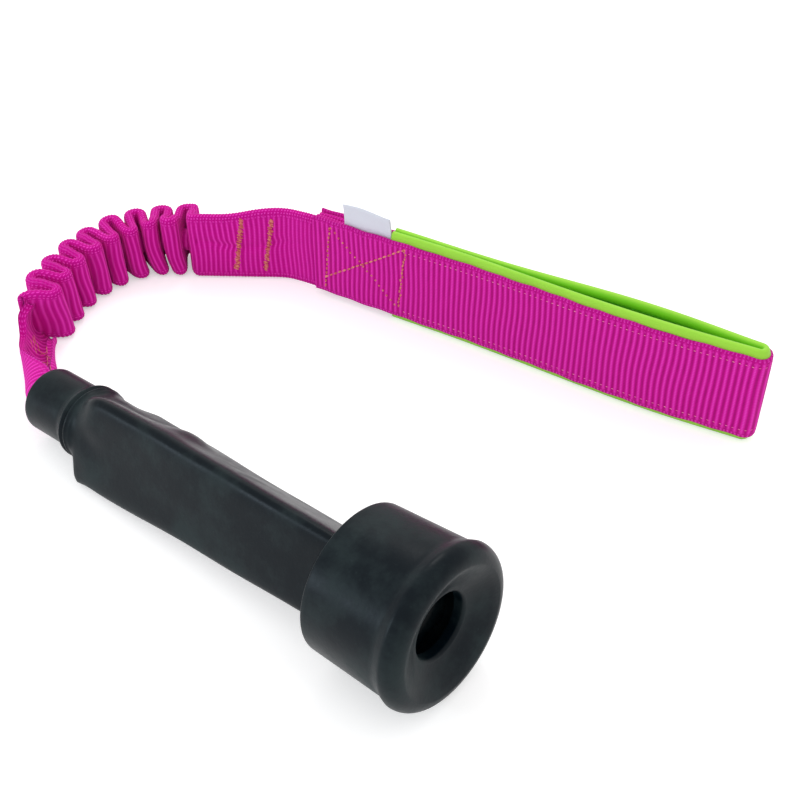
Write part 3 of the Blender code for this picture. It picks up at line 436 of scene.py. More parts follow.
def rubber_finish():
    """Black rubber with cloudy bloom, fine mould grain and rubbed, greyer patches at random."""
    finish = Finish("black rubber", RUBBER_DARK, RUBBER_ROUGHNESS, specular=0.13)
    place = finish.place()
    bloom = finish.noise(place, CLOUD_SCALE, 5.0, 0.62).between(0.42, 0.72)
    fleck = finish.noise(place, FLECK_SCALE, 3.0, 0.6)
    finish.set("Base Color", finish.blend(bloom * 0.8 + fleck.between(0.6, 0.75) * 0.25,
                                          RUBBER_DARK, RUBBER_WORN))
    finish.set("Roughness", bloom * 0.16 + fleck * 0.12 + (RUBBER_ROUGHNESS - 0.06))
    finish.bump(fleck * 0.3 + finish.noise(place, GRAIN_SCALE, 4.0) * 0.7, 0.00025, 0.5)
    return finish


liner = build_liner(rubber_finish())
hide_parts("rubber_liner")
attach(liner, "liner")


# Webbing cloth
# Ribbed polyester webbing: narrow ribs with a painted highlight along their crowns run across it
# between broader grooves of painted shade, each rib a row of small beads of yarn, and both edges
# end in a speckled selvedge.
RIB_HEIGHT = 0.00022
RIB_SHARPNESS = 3
RIB_WAVER = 0.00035
BEAD_PITCH = 0.0007
SPECKLE_PITCH = 0.0015
SPECKLE_WANDER = 0.0010
# The darkest magenta is painted shade for the grooves between ribs and the darker ground of the
# selvedges; the lightest is a painted highlight on the rib crowns and the selvedges' light
# speckle.
MAGENTA_SHADE_AND_SELVEDGE = (0.36, 0.0, 0.150)
MAGENTA_BASE = (0.62, 0.0, 0.290)
MAGENTA_HIGHLIGHT_AND_SPECKLE = (0.92, 0.055, 0.60)
SECTION_ROUND_SHARE = 0.10
YARN_SCALE = 700.0
FADE_SCALE = 220.0
# Strength of the painted shade in the loop webbing's grooves.
GROOVE_SHADE = 0.8


def ridge(phase):
    """Height of a rib from 0 to 1, narrow at its crown, with the phase in turns."""
    return ((1 + math.cos(math.tau * phase)) / 2) ** RIB_SHARPNESS


def section_place(turn):
    """Direction, height share and face share of a point round a strip's section.

    The turn runs from 0 to 1: up the near face, over the top, down the far face, round below.
    """
    face = 1 / 2 - SECTION_ROUND_SHARE
    half, along = divmod(turn * 2, 1)
    along /= 2
    angle = math.pi * max(along - face, 0) / SECTION_ROUND_SHARE
    level = min(along / face, 1)
    return (angle + math.pi, 1 - level) if half else (angle, level)


def roll_strip(name, finish, length, columns, rows, place):
    """Grid rolled into a closed strip. place gives a point for a distance and a turn."""
    shape = bmesh.new()
    cloth = shape.loops.layers.uv.new("cloth")
    bmesh.ops.create_grid(shape, x_segments=columns, y_segments=rows, size=1, calc_uvs=True)
    selvedge = shape.verts.layers.float.new("selvedge")
    for vert in shape.verts:
        distance = length * (vert.co.x + 1) / 2
        turn = (vert.co.y + 1) / 2
        vert.co, vert[selvedge], waver = place(distance, turn % 1)
        for loop in vert.link_loops:
            loop[cloth].uv = (distance + waver, turn)
    bmesh.ops.remove_doubles(shape, verts=shape.verts, dist=2 * WELD)
    bmesh.ops.holes_fill(shape, edges=[e for e in shape.edges if e.is_boundary], sides=0)
    bmesh.ops.recalc_face_normals(shape, faces=shape.faces)
    return new_piece(name, shape, finish)


def webbing_finish(name, rib_pitch, girth, groove_shade):
    """Woven look over a strip's ribs, from the distances in its own map: a painted highlight on
    the crowns and painted shade in the grooves.
    """
    finish = Finish(name, MAGENTA_BASE, 0.8, specular=0.12, sheen=0.05)
    distance, turn = finish.along_cloth()
    around = turn * girth
    edge = finish.node("ShaderNodeAttribute", {"attribute_name": "selvedge"}, None, "Fac")
    wave = (distance * (math.tau / rib_pitch)).math("COSINE") * 0.5 + 0.5
    rib = wave ** 3.0
    bead = (around * (math.tau / BEAD_PITCH)).math("SINE") * 0.5 + 0.5
    stray = (finish.noise(finish.place(), YARN_SCALE, 2.0) - 0.5) * SPECKLE_WANDER
    knot = ((around + stray) * (math.tau / SPECKLE_PITCH)).math("SINE") * 0.5 + 0.5
    yarn = ((distance - stray) * (math.tau / SPECKLE_PITCH)).math("SINE") * 0.5 + 0.5
    speckle = (knot * yarn).between(0.34, 0.62)
    soft = finish.noise(finish.place(), FADE_SCALE, 3.0)
    # Painted highlight along each rib's crown, beaded, and the light speckle of the selvedges.
    light = rib * (bead * 0.45 + 0.55) * (1 - edge) + speckle * edge
    # Painted shade in the grooves between ribs; the selvedges get a darker ground as well.
    dark = (1 - wave).between(0.45, 0.95) * (1 - edge) * (soft * 0.7 + 0.5)
    base = finish.blend((dark + edge * 0.5) * groove_shade, MAGENTA_BASE, MAGENTA_SHADE_AND_SELVEDGE)
    finish.set("Base Color", finish.blend(light * 0.85, base, MAGENTA_HIGHLIGHT_AND_SPECKLE))
    weave = bead * 0.5 * (1 - edge) + speckle * edge + soft * 0.4
    finish.bump(weave, 0.0002, 0.9)
    return finish


# Hand loop webbing
# One length of 40 mm webbing runs from the root round the loop's tip and back, outside the
# padding, and both its ends lie against the sleeve's end in the cross-stitched root.
ORIGIN = Vector((-0.01722, 0.09793))
WEBBING_WIDTH = 0.040
WEBBING_THICKNESS = 0.0016
WEBBING_GIRTH = 2 * (WEBBING_WIDTH + WEBBING_THICKNESS)
WEBBING_RIB_PITCH = 0.0026
PADDING_MARGIN = 0.003
PADDING_THICKNESS = 0.0025
CLOTH_GAP = 0.0003
WEBBING_SELVEDGE = 0.0022
WEBBING_SWAY = ((0.00018, 410, 0), (0.00012, 173, 0))
LOOP_REACH = 0.1745
LOOP_HALF_GAP = 0.0034
FLAT_HALF_GAP = 0.00015
TIP_INNER_RADIUS = 0.001
GAP_START = 0.030
GAP_PEAK_SHARE = 0.66
GAP_FULLNESS = 1.2
ROOT_LENGTH = 0.038
LOOP_STEP = 0.001
NORMAL_REACH = 0.0004
FACE_TOLERANCE = 0.001
COLUMNS_PER_RIB = 8
WEBBING_ROWS = 40
WEBBING_START = 0.003
GAP_END = LOOP_REACH - PADDING_THICKNESS - CLOTH_GAP - WEBBING_THICKNESS - TIP_INNER_RADIUS
WEBBING_INSIDE = FLAT_HALF_GAP + PADDING_THICKNESS + CLOTH_GAP


def half_gap(x):
    """Half the clear width inside the hand loop at a distance along it."""
    part = share(x, GAP_START, GAP_END)
    rest = mix(FLAT_HALF_GAP, TIP_INNER_RADIUS, part)
    power = math.log(1 / 2) / math.log(GAP_PEAK_SHARE)
    opened = math.sin(math.pi * part ** power) ** GAP_FULLNESS
    return rest + (LOOP_HALF_GAP - TIP_INNER_RADIUS) * opened


def loop_route(start, outward):
    """Plan points round the hand loop, a distance outside its inner faces."""
    count = math.ceil((GAP_END - start) / LOOP_STEP)
    places = [mix(start, GAP_END, index / count) for index in range(count)]
    near = [Vector((x, -half_gap(x) - outward)) for x in places]
    radius = TIP_INNER_RADIUS + outward
    tip = []
    for index in range(2 * ARC_STEPS + 1):
        angle = math.pi * index / (2 * ARC_STEPS) - math.pi / 2
        tip.append(Vector((GAP_END + radius * math.cos(angle), radius * math.sin(angle))))
    far = [Vector((point.x, -point.y)) for point in reversed(near)]
    return near + tip + far


class Line:
    """Line of points that is read by distance."""

    def __init__(self, points):
        self.points = points
        self.marks = [0]
        for before, after in zip(self.points, self.points[1:]):
            self.marks.append(self.marks[-1] + (after - before).length)
        self.length = self.marks[-1]
        self.last = 0

    def segment(self, distance):
        if self.marks[self.last] > distance:
            self.last = 0
        while self.last < len(self.points) - 2 and self.marks[self.last + 1] < distance:
            self.last += 1
        return self.last

    def point(self, distance):
        index = self.segment(distance)
        run = self.marks[index + 1] - self.marks[index]
        part = (distance - self.marks[index]) / run
        return self.points[index].lerp(self.points[index + 1], part)


class Route(Line):
    """Line in plan, moved to its place in the frame, with the normal to its right."""

    def __init__(self, points):
        super().__init__([point + ORIGIN for point in points])

    def normal(self, distance, reach=NORMAL_REACH):
        along = self.point(distance + reach) - self.point(distance - reach)
        return Vector((along.y, -along.x)).normalized()


def strip_point(point, normal, half, low, high, turn, lift=0):
    """Point round the section of a strip on edge, raised off its face by lift."""
    angle, level = section_place(turn)
    middle = mix(low + half, high - half, level)
    side = (half + lift) * math.cos(angle)
    up = (half + lift) * math.sin(angle)
    return (point + normal * side).to_3d() + Vector((0, 0, middle + up))


def face_share(angle, level, height, margin):
    """1 on a strip's ribbed face, falling to 0 at its selvedges, and 0 round its edges."""
    if abs(math.sin(angle)) > FACE_TOLERANCE:
        return 0
    return ease(share(min(level, 1 - level) * height, 0, margin))


def sway(distance, waves):
    """Sum of slow waves, each given by its height, rate and phase."""
    return sum(height * math.sin(distance * rate + phase) for height, rate, phase in waves)


webbing_route = Route([Vector((-ROOT_LENGTH, -WEBBING_INSIDE - WEBBING_THICKNESS / 2))]
                      + loop_route(WEBBING_START,
                                   PADDING_THICKNESS + CLOTH_GAP + WEBBING_THICKNESS / 2)
                      + [Vector((-ROOT_LENGTH, WEBBING_INSIDE + WEBBING_THICKNESS / 2))])


def place_webbing(distance, turn):
    angle, level = section_place(turn)
    waver = RIB_WAVER * math.sin(level * 7 + distance * 31) * math.sin(distance * 47)
    ribbed = face_share(angle, level, WEBBING_WIDTH, WEBBING_SELVEDGE)
    lift = RIB_HEIGHT * ridge((distance + waver) / WEBBING_RIB_PITCH) * ribbed
    bob = sway(distance, WEBBING_SWAY)
    spot = strip_point(webbing_route.point(distance), webbing_route.normal(distance),
                       WEBBING_THICKNESS / 2, PADDING_MARGIN + bob,
                       PADDING_MARGIN + WEBBING_WIDTH + bob, turn, lift)
    return spot, 1 - ribbed, waver


webbing_cloth = webbing_finish("magenta webbing", WEBBING_RIB_PITCH, WEBBING_GIRTH,
                               GROOVE_SHADE)
webbing_columns = round(webbing_route.length / WEBBING_RIB_PITCH * COLUMNS_PER_RIB)
loop_webbing = roll_strip("loop_webbing", webbing_cloth, webbing_route.length, webbing_columns,
                          WEBBING_ROWS, place_webbing)
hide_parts("handle_webbing")
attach(loop_webbing, "handle")


# Loop padding
# A foam strip in a smooth lime fabric lines the loop. Its edges are turned over and stand
# proud of the webbing, and a row of stitches draws the fabric in along each of them.
PAD_TOP = WEBBING_WIDTH + 2 * PADDING_MARGIN
PADDING_START = 0.003
SEAM_INSET = 0.0038
EDGE_SWELL = 0.0009
STITCH_PITCH = 0.0022
STITCH_DRAW = (0.00030, 0.00010)
PADDING_SWAY = ((0.0002, 61, 0),)
LIME_OUTSIDE = (0.33, 0.70, 0.045)
LIME_INSIDE = (0.17, 0.62, 0.0)
# Deeper green, used for random tint and for painted shade along the stitched seams.
LIME_SHADE_AND_TINT = (0.07, 0.33, 0.0)
KNIT_PITCH = 0.0009
COLUMNS_PER_STITCH = 6
PADDING_ROWS = 60
PADDING_LEAST = 0.00005
SWELL_RUN = 0.0012
DRAW_RUN = 0.0006

padding_route = Route(loop_route(PADDING_START, PADDING_THICKNESS / 2))


def place_padding(distance, turn):
    angle, level = section_place(turn)
    height = level * PAD_TOP
    inset = min(height, PAD_TOP - height)
    room = half_gap(padding_route.point(distance).x - ORIGIN.x) - CLOTH_GAP / 3
    swell = EDGE_SWELL if math.cos(angle) > 0 else min(EDGE_SWELL, max(room, 0))
    swell *= math.exp(-((inset - SEAM_INSET * 0.45) / SWELL_RUN) ** 2)
    draw = math.exp(-((inset - SEAM_INSET) / DRAW_RUN) ** 2)
    draw *= STITCH_DRAW[0] + STITCH_DRAW[1] * math.cos(math.tau * distance / STITCH_PITCH)
    lift = 0 if abs(math.sin(angle)) > FACE_TOLERANCE else swell - draw
    bob = sway(distance, PADDING_SWAY)
    spot = strip_point(padding_route.point(distance), padding_route.normal(distance),
                       PADDING_THICKNESS / 2, bob / 4, PAD_TOP + bob, turn, lift)
    spot.z = max(spot.z, PADDING_LEAST)
    # The stitches' draw is returned as the selvedge map, and the finish paints shade along it.
    return spot, draw / sum(STITCH_DRAW), 0


def padding_finish():
    """Smooth coated lime fabric with a faint knit, random deeper tint, and painted shade along its
    seams.
    """
    finish = Finish("lime padding", LIME_OUTSIDE, 0.62, specular=0.3, sheen=0.15)
    distance, turn = finish.along_cloth()
    knit = (distance * (math.tau / KNIT_PITCH)).math("SINE") * (turn * 900.0).math("SINE")
    tint = finish.noise(finish.place(), 70.0, 3.0)
    inner = turn.between(0.46, 0.52) * (1 - turn.between(0.94, 0.98))
    base = finish.blend(inner, LIME_OUTSIDE, LIME_INSIDE)
    seam = finish.node("ShaderNodeAttribute", {"attribute_name": "selvedge"}, None, "Fac")
    # Painted shade where the stitches draw the fabric in, plus random deeper tint.
    shade = finish.blend(seam * 0.35 + tint.between(0.4, 0.8) * 0.12, base, LIME_SHADE_AND_TINT)
    finish.set("Base Color", shade)
    finish.bump(knit * 0.3 + tint, 0.00012, 0.35)
    return finish


loop_padding = roll_strip("loop_padding", padding_finish(), padding_route.length,
                          round(padding_route.length / STITCH_PITCH) * COLUMNS_PER_STITCH,
                          PADDING_ROWS, place_padding)
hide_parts("padding_cover", "padding_foam")
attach(loop_padding, "handle")


# Seams of the hand loop
# Machine stitches: green ones draw the padding's edges in on the loop's inside, and fine
# pink ones hold the webbing to the padding near both of its edges.
STITCH_SHARE = 0.72
EDGE_SEAM_INSET = 0.004
EDGE_SEAM_START = 0.010
INNER_SEAM_START = 0.058
INNER_SEAM_SINK = 0.00012
EDGE_SEAM_RISE = 0.00008
EDGE_STITCH_SHARE = 0.4
PADDING_STITCH = 0.0006
WEBBING_STITCH = 0.00030
GREEN_THREAD = ((0.05, 0.42, 0.02), (0.12, 0.55, 0.06))
PINK_THREAD = ((0.80, 0.10, 0.38), (0.85, 0.35, 0.38))


def thread_finish(name, colour, paler):
    finish = Finish(name, colour, 0.6, specular=0.35, sheen=0.2)
    tint = finish.noise(finish.place(), 900.0, 2.0)
    finish.set("Base Color", finish.blend(tint.between(0.35, 0.7), colour, paler))
    finish.bump(tint, 0.0001, 0.5)
    return finish


def stitch_row(name, spots, thickness, finish):
    """Small plump stitches between pairs of points, as one piece."""
    shape = bmesh.new()
    for first, last in spots:
        along = last - first
        turn = along.to_track_quat("X", "Z").to_matrix().to_4x4()
        size = Matrix.Diagonal((along.length / 2, thickness / 2, thickness / 2, 1))
        matrix = Matrix.Translation((first + last) / 2) @ turn @ size
        bmesh.ops.create_icosphere(shape, subdivisions=2, radius=1, matrix=matrix)
    return new_piece(name, shape, finish)


def route_stitches(route, height, pitch, side, long_share):
    """Pairs of points of stitches along a route, side metres to the right of it."""
    spots = []
    for index in range(int(route.length / pitch)):
        pair = []
        for distance in (index * pitch, index * pitch + pitch * long_share):
            flat = route.point(distance) + route.normal(distance) * side
            pair.append(flat.to_3d() + Vector((0, 0, height)))
        spots.append(pair)
    return spots


green = thread_finish("green thread", *GREEN_THREAD)
pink = thread_finish("pink thread", *PINK_THREAD)
inside_route = Route(loop_route(INNER_SEAM_START, -INNER_SEAM_SINK))
for name, height in (("upper", PAD_TOP - SEAM_INSET), ("lower", SEAM_INSET)):
    stitches = route_stitches(inside_route, height, STITCH_PITCH, 0, STITCH_SHARE)
    seam = stitch_row(f"padding_stitches_{name}", stitches, PADDING_STITCH, green)
    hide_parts(f"padding_seam_{name}")
    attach(seam, "handle")
outside_route = Route(loop_route(EDGE_SEAM_START,
                                 PADDING_THICKNESS + CLOTH_GAP + WEBBING_THICKNESS))
for name, height in (("upper", PADDING_MARGIN + WEBBING_WIDTH - EDGE_SEAM_INSET),
                     ("lower", PADDING_MARGIN + EDGE_SEAM_INSET)):
    stitches = route_stitches(outside_route, height, WEBBING_RIB_PITCH, EDGE_SEAM_RISE,
                              EDGE_STITCH_SHARE)
    seam = stitch_row(f"webbing_stitches_{name}", stitches, WEBBING_STITCH, pink)
    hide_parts(f"webbing_seam_{name}")
    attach(seam, "handle")


# Sleeve
# Flat tubular webbing: a folded tab in the root, a flat strap with two bar tacks, nine folds
# gathered on the bungee, and a twisted end.
SLEEVE_WIDTH = 0.038
SLEEVE_THICKNESS = 0.0038
SLEEVE_GIRTH = 0.068
SLEEVE_LOW = PADDING_MARGIN + (WEBBING_WIDTH - SLEEVE_WIDTH) / 2
SLEEVE_LEAST = 0.0003
SLEEVE_RIB_PITCH = 0.0024
SLEEVE_SELVEDGE = 0.003
# Strength of the painted shade in the sleeve's grooves.
SLEEVE_GROOVE_SHADE = 0.4
EDGE_SCALLOP = 0.00013
SLEEVE_SWAY = ((0.0003, 230, 0), (0.0003, 97, 1))
SLEEVE_COLUMNS_PER_RIB = 12
SLEEVE_ROWS = 60
PATH_STEP = 0.0005

ROOT_FRONT = 0.0024
ROOT_CLEARANCE = 0.0026
STRAP_PIVOT = Vector((-ROOT_LENGTH - ROOT_CLEARANCE, 0))
STRAP_TUCK = 0.006
STRAP_LEAD = 0.011
STRAP_BEND_RADIUS = 0.020
STRAP_BEND = math.radians(29)
STRAP_RUN = 0.0378
STRAP_SETTLE = 0.020
STRAP_START_LOW = 0.0014
STRAP_END_LOW = 0.0006
STRAP_END_HIGH = 0.0342
STRAP_HINGE_RUN = 0.014
STRAP_HINGE_HEIGHT = 0.02
TACK_STATIONS = (0.0235, 0.0375)
CREASE_LEVEL = 0.55
CREASE_SPREAD = 0.06
CREASE_RATE = 120
CREASE_RISE = (0.012, 0.03)
CREASE_STRAY = 0.0011
CREASE_DEPTH = 0.0007

GATHER_LEAD = 0.0147
ARC_RADII = (0.040, 0.085)
ARC_TURNS = (math.radians(59), math.radians(33))
ENTRY_ROOM = 0.0022
FOLD_COUNT = 9
FOLD_STEPS = 96
FIRST_PITCH = 0.0103
PITCH_GROWTH = 0.0004
FIRST_SWING = 0.0098
LAST_SWING = 0.0054
SWING_FADE_FOLDS = 6
LEG_SHARE = 0.4
NEAR_HALF_TURN = 0.20
FOLD_TURN_HEIGHT = 0.0026
FOLD_THICK_FAR = 0.0040
FOLD_THICK_MOST = 0.0043
THICKEN_RUN = 0.004
NEAR_FILL_SHARE = 0.86
FAR_FILL_SHARE = 0.70
FOLD_LOW = 0.001
FOLD_HIGH = 0.0282
NEAR_FADE = 0.035
FAR_FADE = 0.002
NEAR_SIDE = (-0.3, 1)
NEAR_DROP = 0.0020
NEAR_DROP_FOLDS = (1.5, 3)
LAST_DROP = 0.0025
LAST_DROP_FOLDS = (7, 8.5)
CURL_REACH = 0.0034
CURL_FADE_FOLDS = (2.5, 4)
LEAN_START = 0.25
LEAN_REACH = (0.0008, 0.0040)
LEAN_FOLDS = (1, 4)
FAR_SPREAD = 0.0022
FAR_SPREAD_FOLDS = (6, 8)
ZONE_HEIGHT = 0.015


def run(point, heading, length):
    """Points of a straight stretch ahead of a point."""
    count = max(round(length / PATH_STEP), 1)
    along = Vector((math.cos(heading), math.sin(heading)))
    return [point + along * (length * (index + 1) / count) for index in range(count)]


def bend(point, heading, radius, turn):
    """Points of a stretch ahead of a point that turns left."""
    count = max(round(radius * turn / PATH_STEP), 1)
    centre = point + radius * Vector((-math.sin(heading), math.cos(heading)))
    angles = [heading + turn * (index + 1) / count for index in range(count)]
    return [centre + radius * Vector((math.sin(angle), -math.cos(angle))) for angle in angles]


strap_points = [STRAP_PIVOT + Vector((STRAP_TUCK, 0)), STRAP_PIVOT.copy()]
strap_points += run(STRAP_PIVOT, math.pi, STRAP_LEAD)
strap_points += bend(strap_points[-1], math.pi, STRAP_BEND_RADIUS, STRAP_BEND)
strap_points += run(strap_points[-1], math.pi + STRAP_BEND, STRAP_RUN)


def gather_middle():
    """Mean line of the gathers with its headings, from the strap's end."""
    heading = math.pi + STRAP_BEND
    outward = Vector((math.sin(heading), -math.cos(heading)))
    points = [strap_points[-1] + outward * FIRST_SWING]
    points += run(points[-1], heading, GATHER_LEAD)
    headings = [heading] * len(points)
    for radius, turn in zip(ARC_RADII, ARC_TURNS):
        added = bend(points[-1], heading, radius, turn)
        headings += [heading + turn * (index + 1) / len(added) for index in range(len(added))]
        points += added
        heading += turn
    return points, headings


MIDDLE_POINTS, MIDDLE_HEADINGS = gather_middle()


def gather_place(distance, aside):
    """Plan point at a distance along the mean line, aside towards the far humps."""
    part, index = math.modf(max(distance, 0) / PATH_STEP)
    index = min(int(index), len(MIDDLE_POINTS) - 2)
    place = MIDDLE_POINTS[index].lerp(MIDDLE_POINTS[index + 1], min(part, 1))
    heading = mix(MIDDLE_HEADINGS[index], MIDDLE_HEADINGS[index + 1], min(part, 1))
    return place + aside * Vector((math.sin(heading), -math.cos(heading)))


def gather_distance(folds):
    """Distance along the mean line of a fold number. The pitch grows a little with each."""
    opened = ENTRY_ROOM * share(folds, NEAR_HALF_TURN, 1 / 2)
    return opened + FIRST_PITCH * folds + PITCH_GROWTH * folds * folds / 2


def swing(folds):
    """Half the folds' breadth across the mean line."""
    return mix(FIRST_SWING, LAST_SWING, share(folds, 0, SWING_FADE_FOLDS))


def fold_spot(folds):
    """Fold number along the mean line, side from near -1 to far 1, and rise of a turn.

    A fold is one pitch: two legs across the mean line, and a turn at the end of each.
    """
    unit, part = divmod(folds * 2, 1)
    side = 1 if unit % 2 == 0 else -1
    middle = (unit + 1) / 2
    before, after = (NEAR_HALF_TURN, 1 / 4) if side > 0 else (1 / 4, NEAR_HALF_TURN)
    if part < LEG_SHARE:
        return (mix(middle - 1 / 2 + before, middle - after, part / LEG_SHARE),
                side * mix(-1, 1, part / LEG_SHARE), 0)
    angle = math.pi * (part - LEG_SHARE) / (1 - LEG_SHARE)
    return middle - math.cos(angle) * after, side, side * math.sin(angle)


def sleeve_points():
    """Plan points of the whole strip, each with its side and its fold number."""
    spots = [(point, -1, 0) for point in strap_points]
    for index in range(1, 2 * ARC_STEPS):
        angle = math.pi / 2 * index / (2 * ARC_STEPS)
        aside = -FIRST_SWING + FOLD_TURN_HEIGHT * (1 - math.cos(angle))
        folds = math.sin(angle) * NEAR_HALF_TURN
        spots.append((gather_place(gather_distance(folds), aside), -1, folds))
    steps = FOLD_COUNT * FOLD_STEPS
    for index in range(steps + 1):
        folds, side, cap = fold_spot(index / steps * FOLD_COUNT)
        if index == 0 or folds > FOLD_COUNT - 1 / 2 + 1 / 16:
            continue
        aside = (swing(folds) - FOLD_TURN_HEIGHT) * side + FOLD_TURN_HEIGHT * cap
        spots.append((gather_place(gather_distance(folds), aside), aside / swing(folds), folds))
    return spots


sleeve_spots = sleeve_points()
sleeve_route = Route([spot[0] for spot in sleeve_spots])
STRAP_TURN = sleeve_route.marks[len(strap_points) - 1]


def face_marks(side_sign):
    """Distances along one face of the strip, at the points of its middle line."""
    spots = []
    for mark, (_, side, folds) in zip(sleeve_route.marks, sleeve_spots):
        half = sleeve_edges(mark, side, folds)[0] * side_sign
        spots.append(sleeve_route.point(mark) + sleeve_route.normal(mark) * half)
    marks = [0]
    for index, (before, after) in enumerate(zip(spots, spots[1:])):
        along = (sleeve_route.points[index + 1] - sleeve_route.points[index]).normalized()
        marks.append(marks[-1] + max((after - before).dot(along), 0))
    return marks


def sleeve_state(distance):
    """Side share and fold number of the sleeve at a distance along its cloth."""
    index = sleeve_route.segment(distance)
    start = sleeve_route.marks[index]
    part = (distance - start) / (sleeve_route.marks[index + 1] - start)
    first, second = sleeve_spots[index], sleeve_spots[index + 1]
    return mix(first[1], second[1], part), mix(first[2], second[2], part)


def fold_mark(folds):
    """Distance along the cloth of a fold number, found from its far or near leg."""
    for index in range(len(strap_points), len(sleeve_spots)):
        if sleeve_spots[index][2] >= folds:
            return sleeve_route.marks[index]
    return sleeve_route.length


def sleeve_edges(distance, side, folds):
    """Half thickness and the heights of both edges of the strip."""
    if distance <= STRAP_TURN:
        along = distance - STRAP_TUCK
        low = mix(STRAP_START_LOW, STRAP_END_LOW, ease(share(along, 0, STRAP_SETTLE)))
        part = ease(share(along, STRAP_LEAD, STRAP_TURN - STRAP_TUCK))
        high = mix(STRAP_START_LOW + SLEEVE_WIDTH, STRAP_END_HIGH, part)
        return SLEEVE_THICKNESS / 2, low, high
    far = (side + 1) / 2
    middle = max(folds, 0.75)
    room = (gather_place(gather_distance(middle + 1 / 4), side * swing(folds))
            - gather_place(gather_distance(middle - 1 / 4), side * swing(folds))).length
    thick = min(room * mix(NEAR_FILL_SHARE, FAR_FILL_SHARE, far), FOLD_THICK_MOST)
    fade = ease(share(distance - STRAP_TURN, 0, THICKEN_RUN))
    settled = share(side, -0.9, 0)
    drop = math.exp(-gather_distance(folds) / mix(NEAR_FADE, FAR_FADE, settled))
    high = FOLD_HIGH + (STRAP_END_HIGH - FOLD_HIGH) * drop
    high -= LAST_DROP * ease(share(folds, *LAST_DROP_FOLDS)) * far
    high -= NEAR_DROP * share(folds, *NEAR_DROP_FOLDS) * ease(share(-side, *NEAR_SIDE))
    return mix(SLEEVE_THICKNESS, thick, fade) / 2, mix(STRAP_END_LOW, FOLD_LOW, fade), high


FACE_MARKS = {1: face_marks(1), -1: face_marks(-1)}


def face_stray(distance, angle):
    """How far the distance along the faces is ahead of that along the middle line."""
    index = sleeve_route.segment(distance)
    start, end = sleeve_route.marks[index:index + 2]
    part = (distance - start) / (end - start)
    right, left = (mix(marks[index], marks[index + 1], part) for marks in FACE_MARKS.values())
    return mix(left, right, (math.cos(angle) + 1) / 2) - distance


def strap_crease(distance, level):
    """1 along the strap's lengthwise crease, which wavers, falling to 0 beside it."""
    off = level - CREASE_LEVEL - CREASE_SPREAD * math.sin(distance * CREASE_RATE)
    return math.exp(-(off / CREASE_SPREAD) ** 2) * share(distance, *CREASE_RISE)


def hang(point, side, folds, level):
    """A point of the folds as they hang: near turns curl and lean, far humps spread."""
    near = share(-side, *NEAR_SIDE) * share(folds, LEAN_START, 1)
    curl = near * (1 - level) ** 3 * CURL_REACH * (1 - share(folds, *CURL_FADE_FOLDS))
    lean = near * mix(1, 0.4, level) * mix(*LEAN_REACH, share(folds, *LEAN_FOLDS))
    lean -= FAR_SPREAD * share(side, 0, 1) * share(folds, *FAR_SPREAD_FOLDS)
    index = min(int(gather_distance(folds) / PATH_STEP), len(MIDDLE_HEADINGS) - 1)
    heading = MIDDLE_HEADINGS[index]
    point = point - Vector((math.cos(heading), math.sin(heading))) * curl
    return point + Vector((-math.sin(heading), math.cos(heading))) * lean


def place_sleeve(distance, turn):
    side, folds = sleeve_state(distance)
    half, low, high = sleeve_edges(distance, side, folds)
    angle, level = section_place(turn)
    waver = RIB_WAVER * math.sin(level * 6 + distance * 90) + face_stray(distance, angle)
    ribbed = face_share(angle, level, high - low, SLEEVE_SELVEDGE)
    crease = strap_crease(distance, level) if folds == 0 else 0
    waver += CREASE_STRAY * crease * (0.4 + 0.6 * math.sin(distance * 260 + 1))
    scallop = math.tau * (distance + waver) / SPECKLE_PITCH
    lift = RIB_HEIGHT * ridge((distance + waver) / SLEEVE_RIB_PITCH) * ribbed
    lift += EDGE_SCALLOP * math.sin(scallop) * (1 - ribbed)
    lift -= CREASE_DEPTH * crease
    point = sleeve_route.point(distance)
    if folds > LEAN_START:
        point = hang(point, side, folds, level)
    high += sway(distance, SLEEVE_SWAY)
    spot = strip_point(point, sleeve_route.normal(distance), half, max(low, SLEEVE_LEAST), high,
                       turn, lift)
    return spot, 1 - ribbed, waver


def zone(first, last):
    """Start and end points of a stretch that turns, from two fold numbers."""
    spots = [gather_place(gather_distance(folds), 0) + ORIGIN for folds in (first, last)]
    return [spot.to_3d() + Vector((0, 0, ZONE_HEIGHT)) for spot in spots]


sleeve_cloth = webbing_finish("magenta sleeve", SLEEVE_RIB_PITCH, SLEEVE_GIRTH,
                              SLEEVE_GROOVE_SHADE)
strap_hinge = [Vector((ORIGIN.x - (ROOT_LENGTH + along), ORIGIN.y, STRAP_HINGE_HEIGHT))
               for along in (0, STRAP_HINGE_RUN)]
strap_end = STRAP_TUCK + TACK_STATIONS[1]
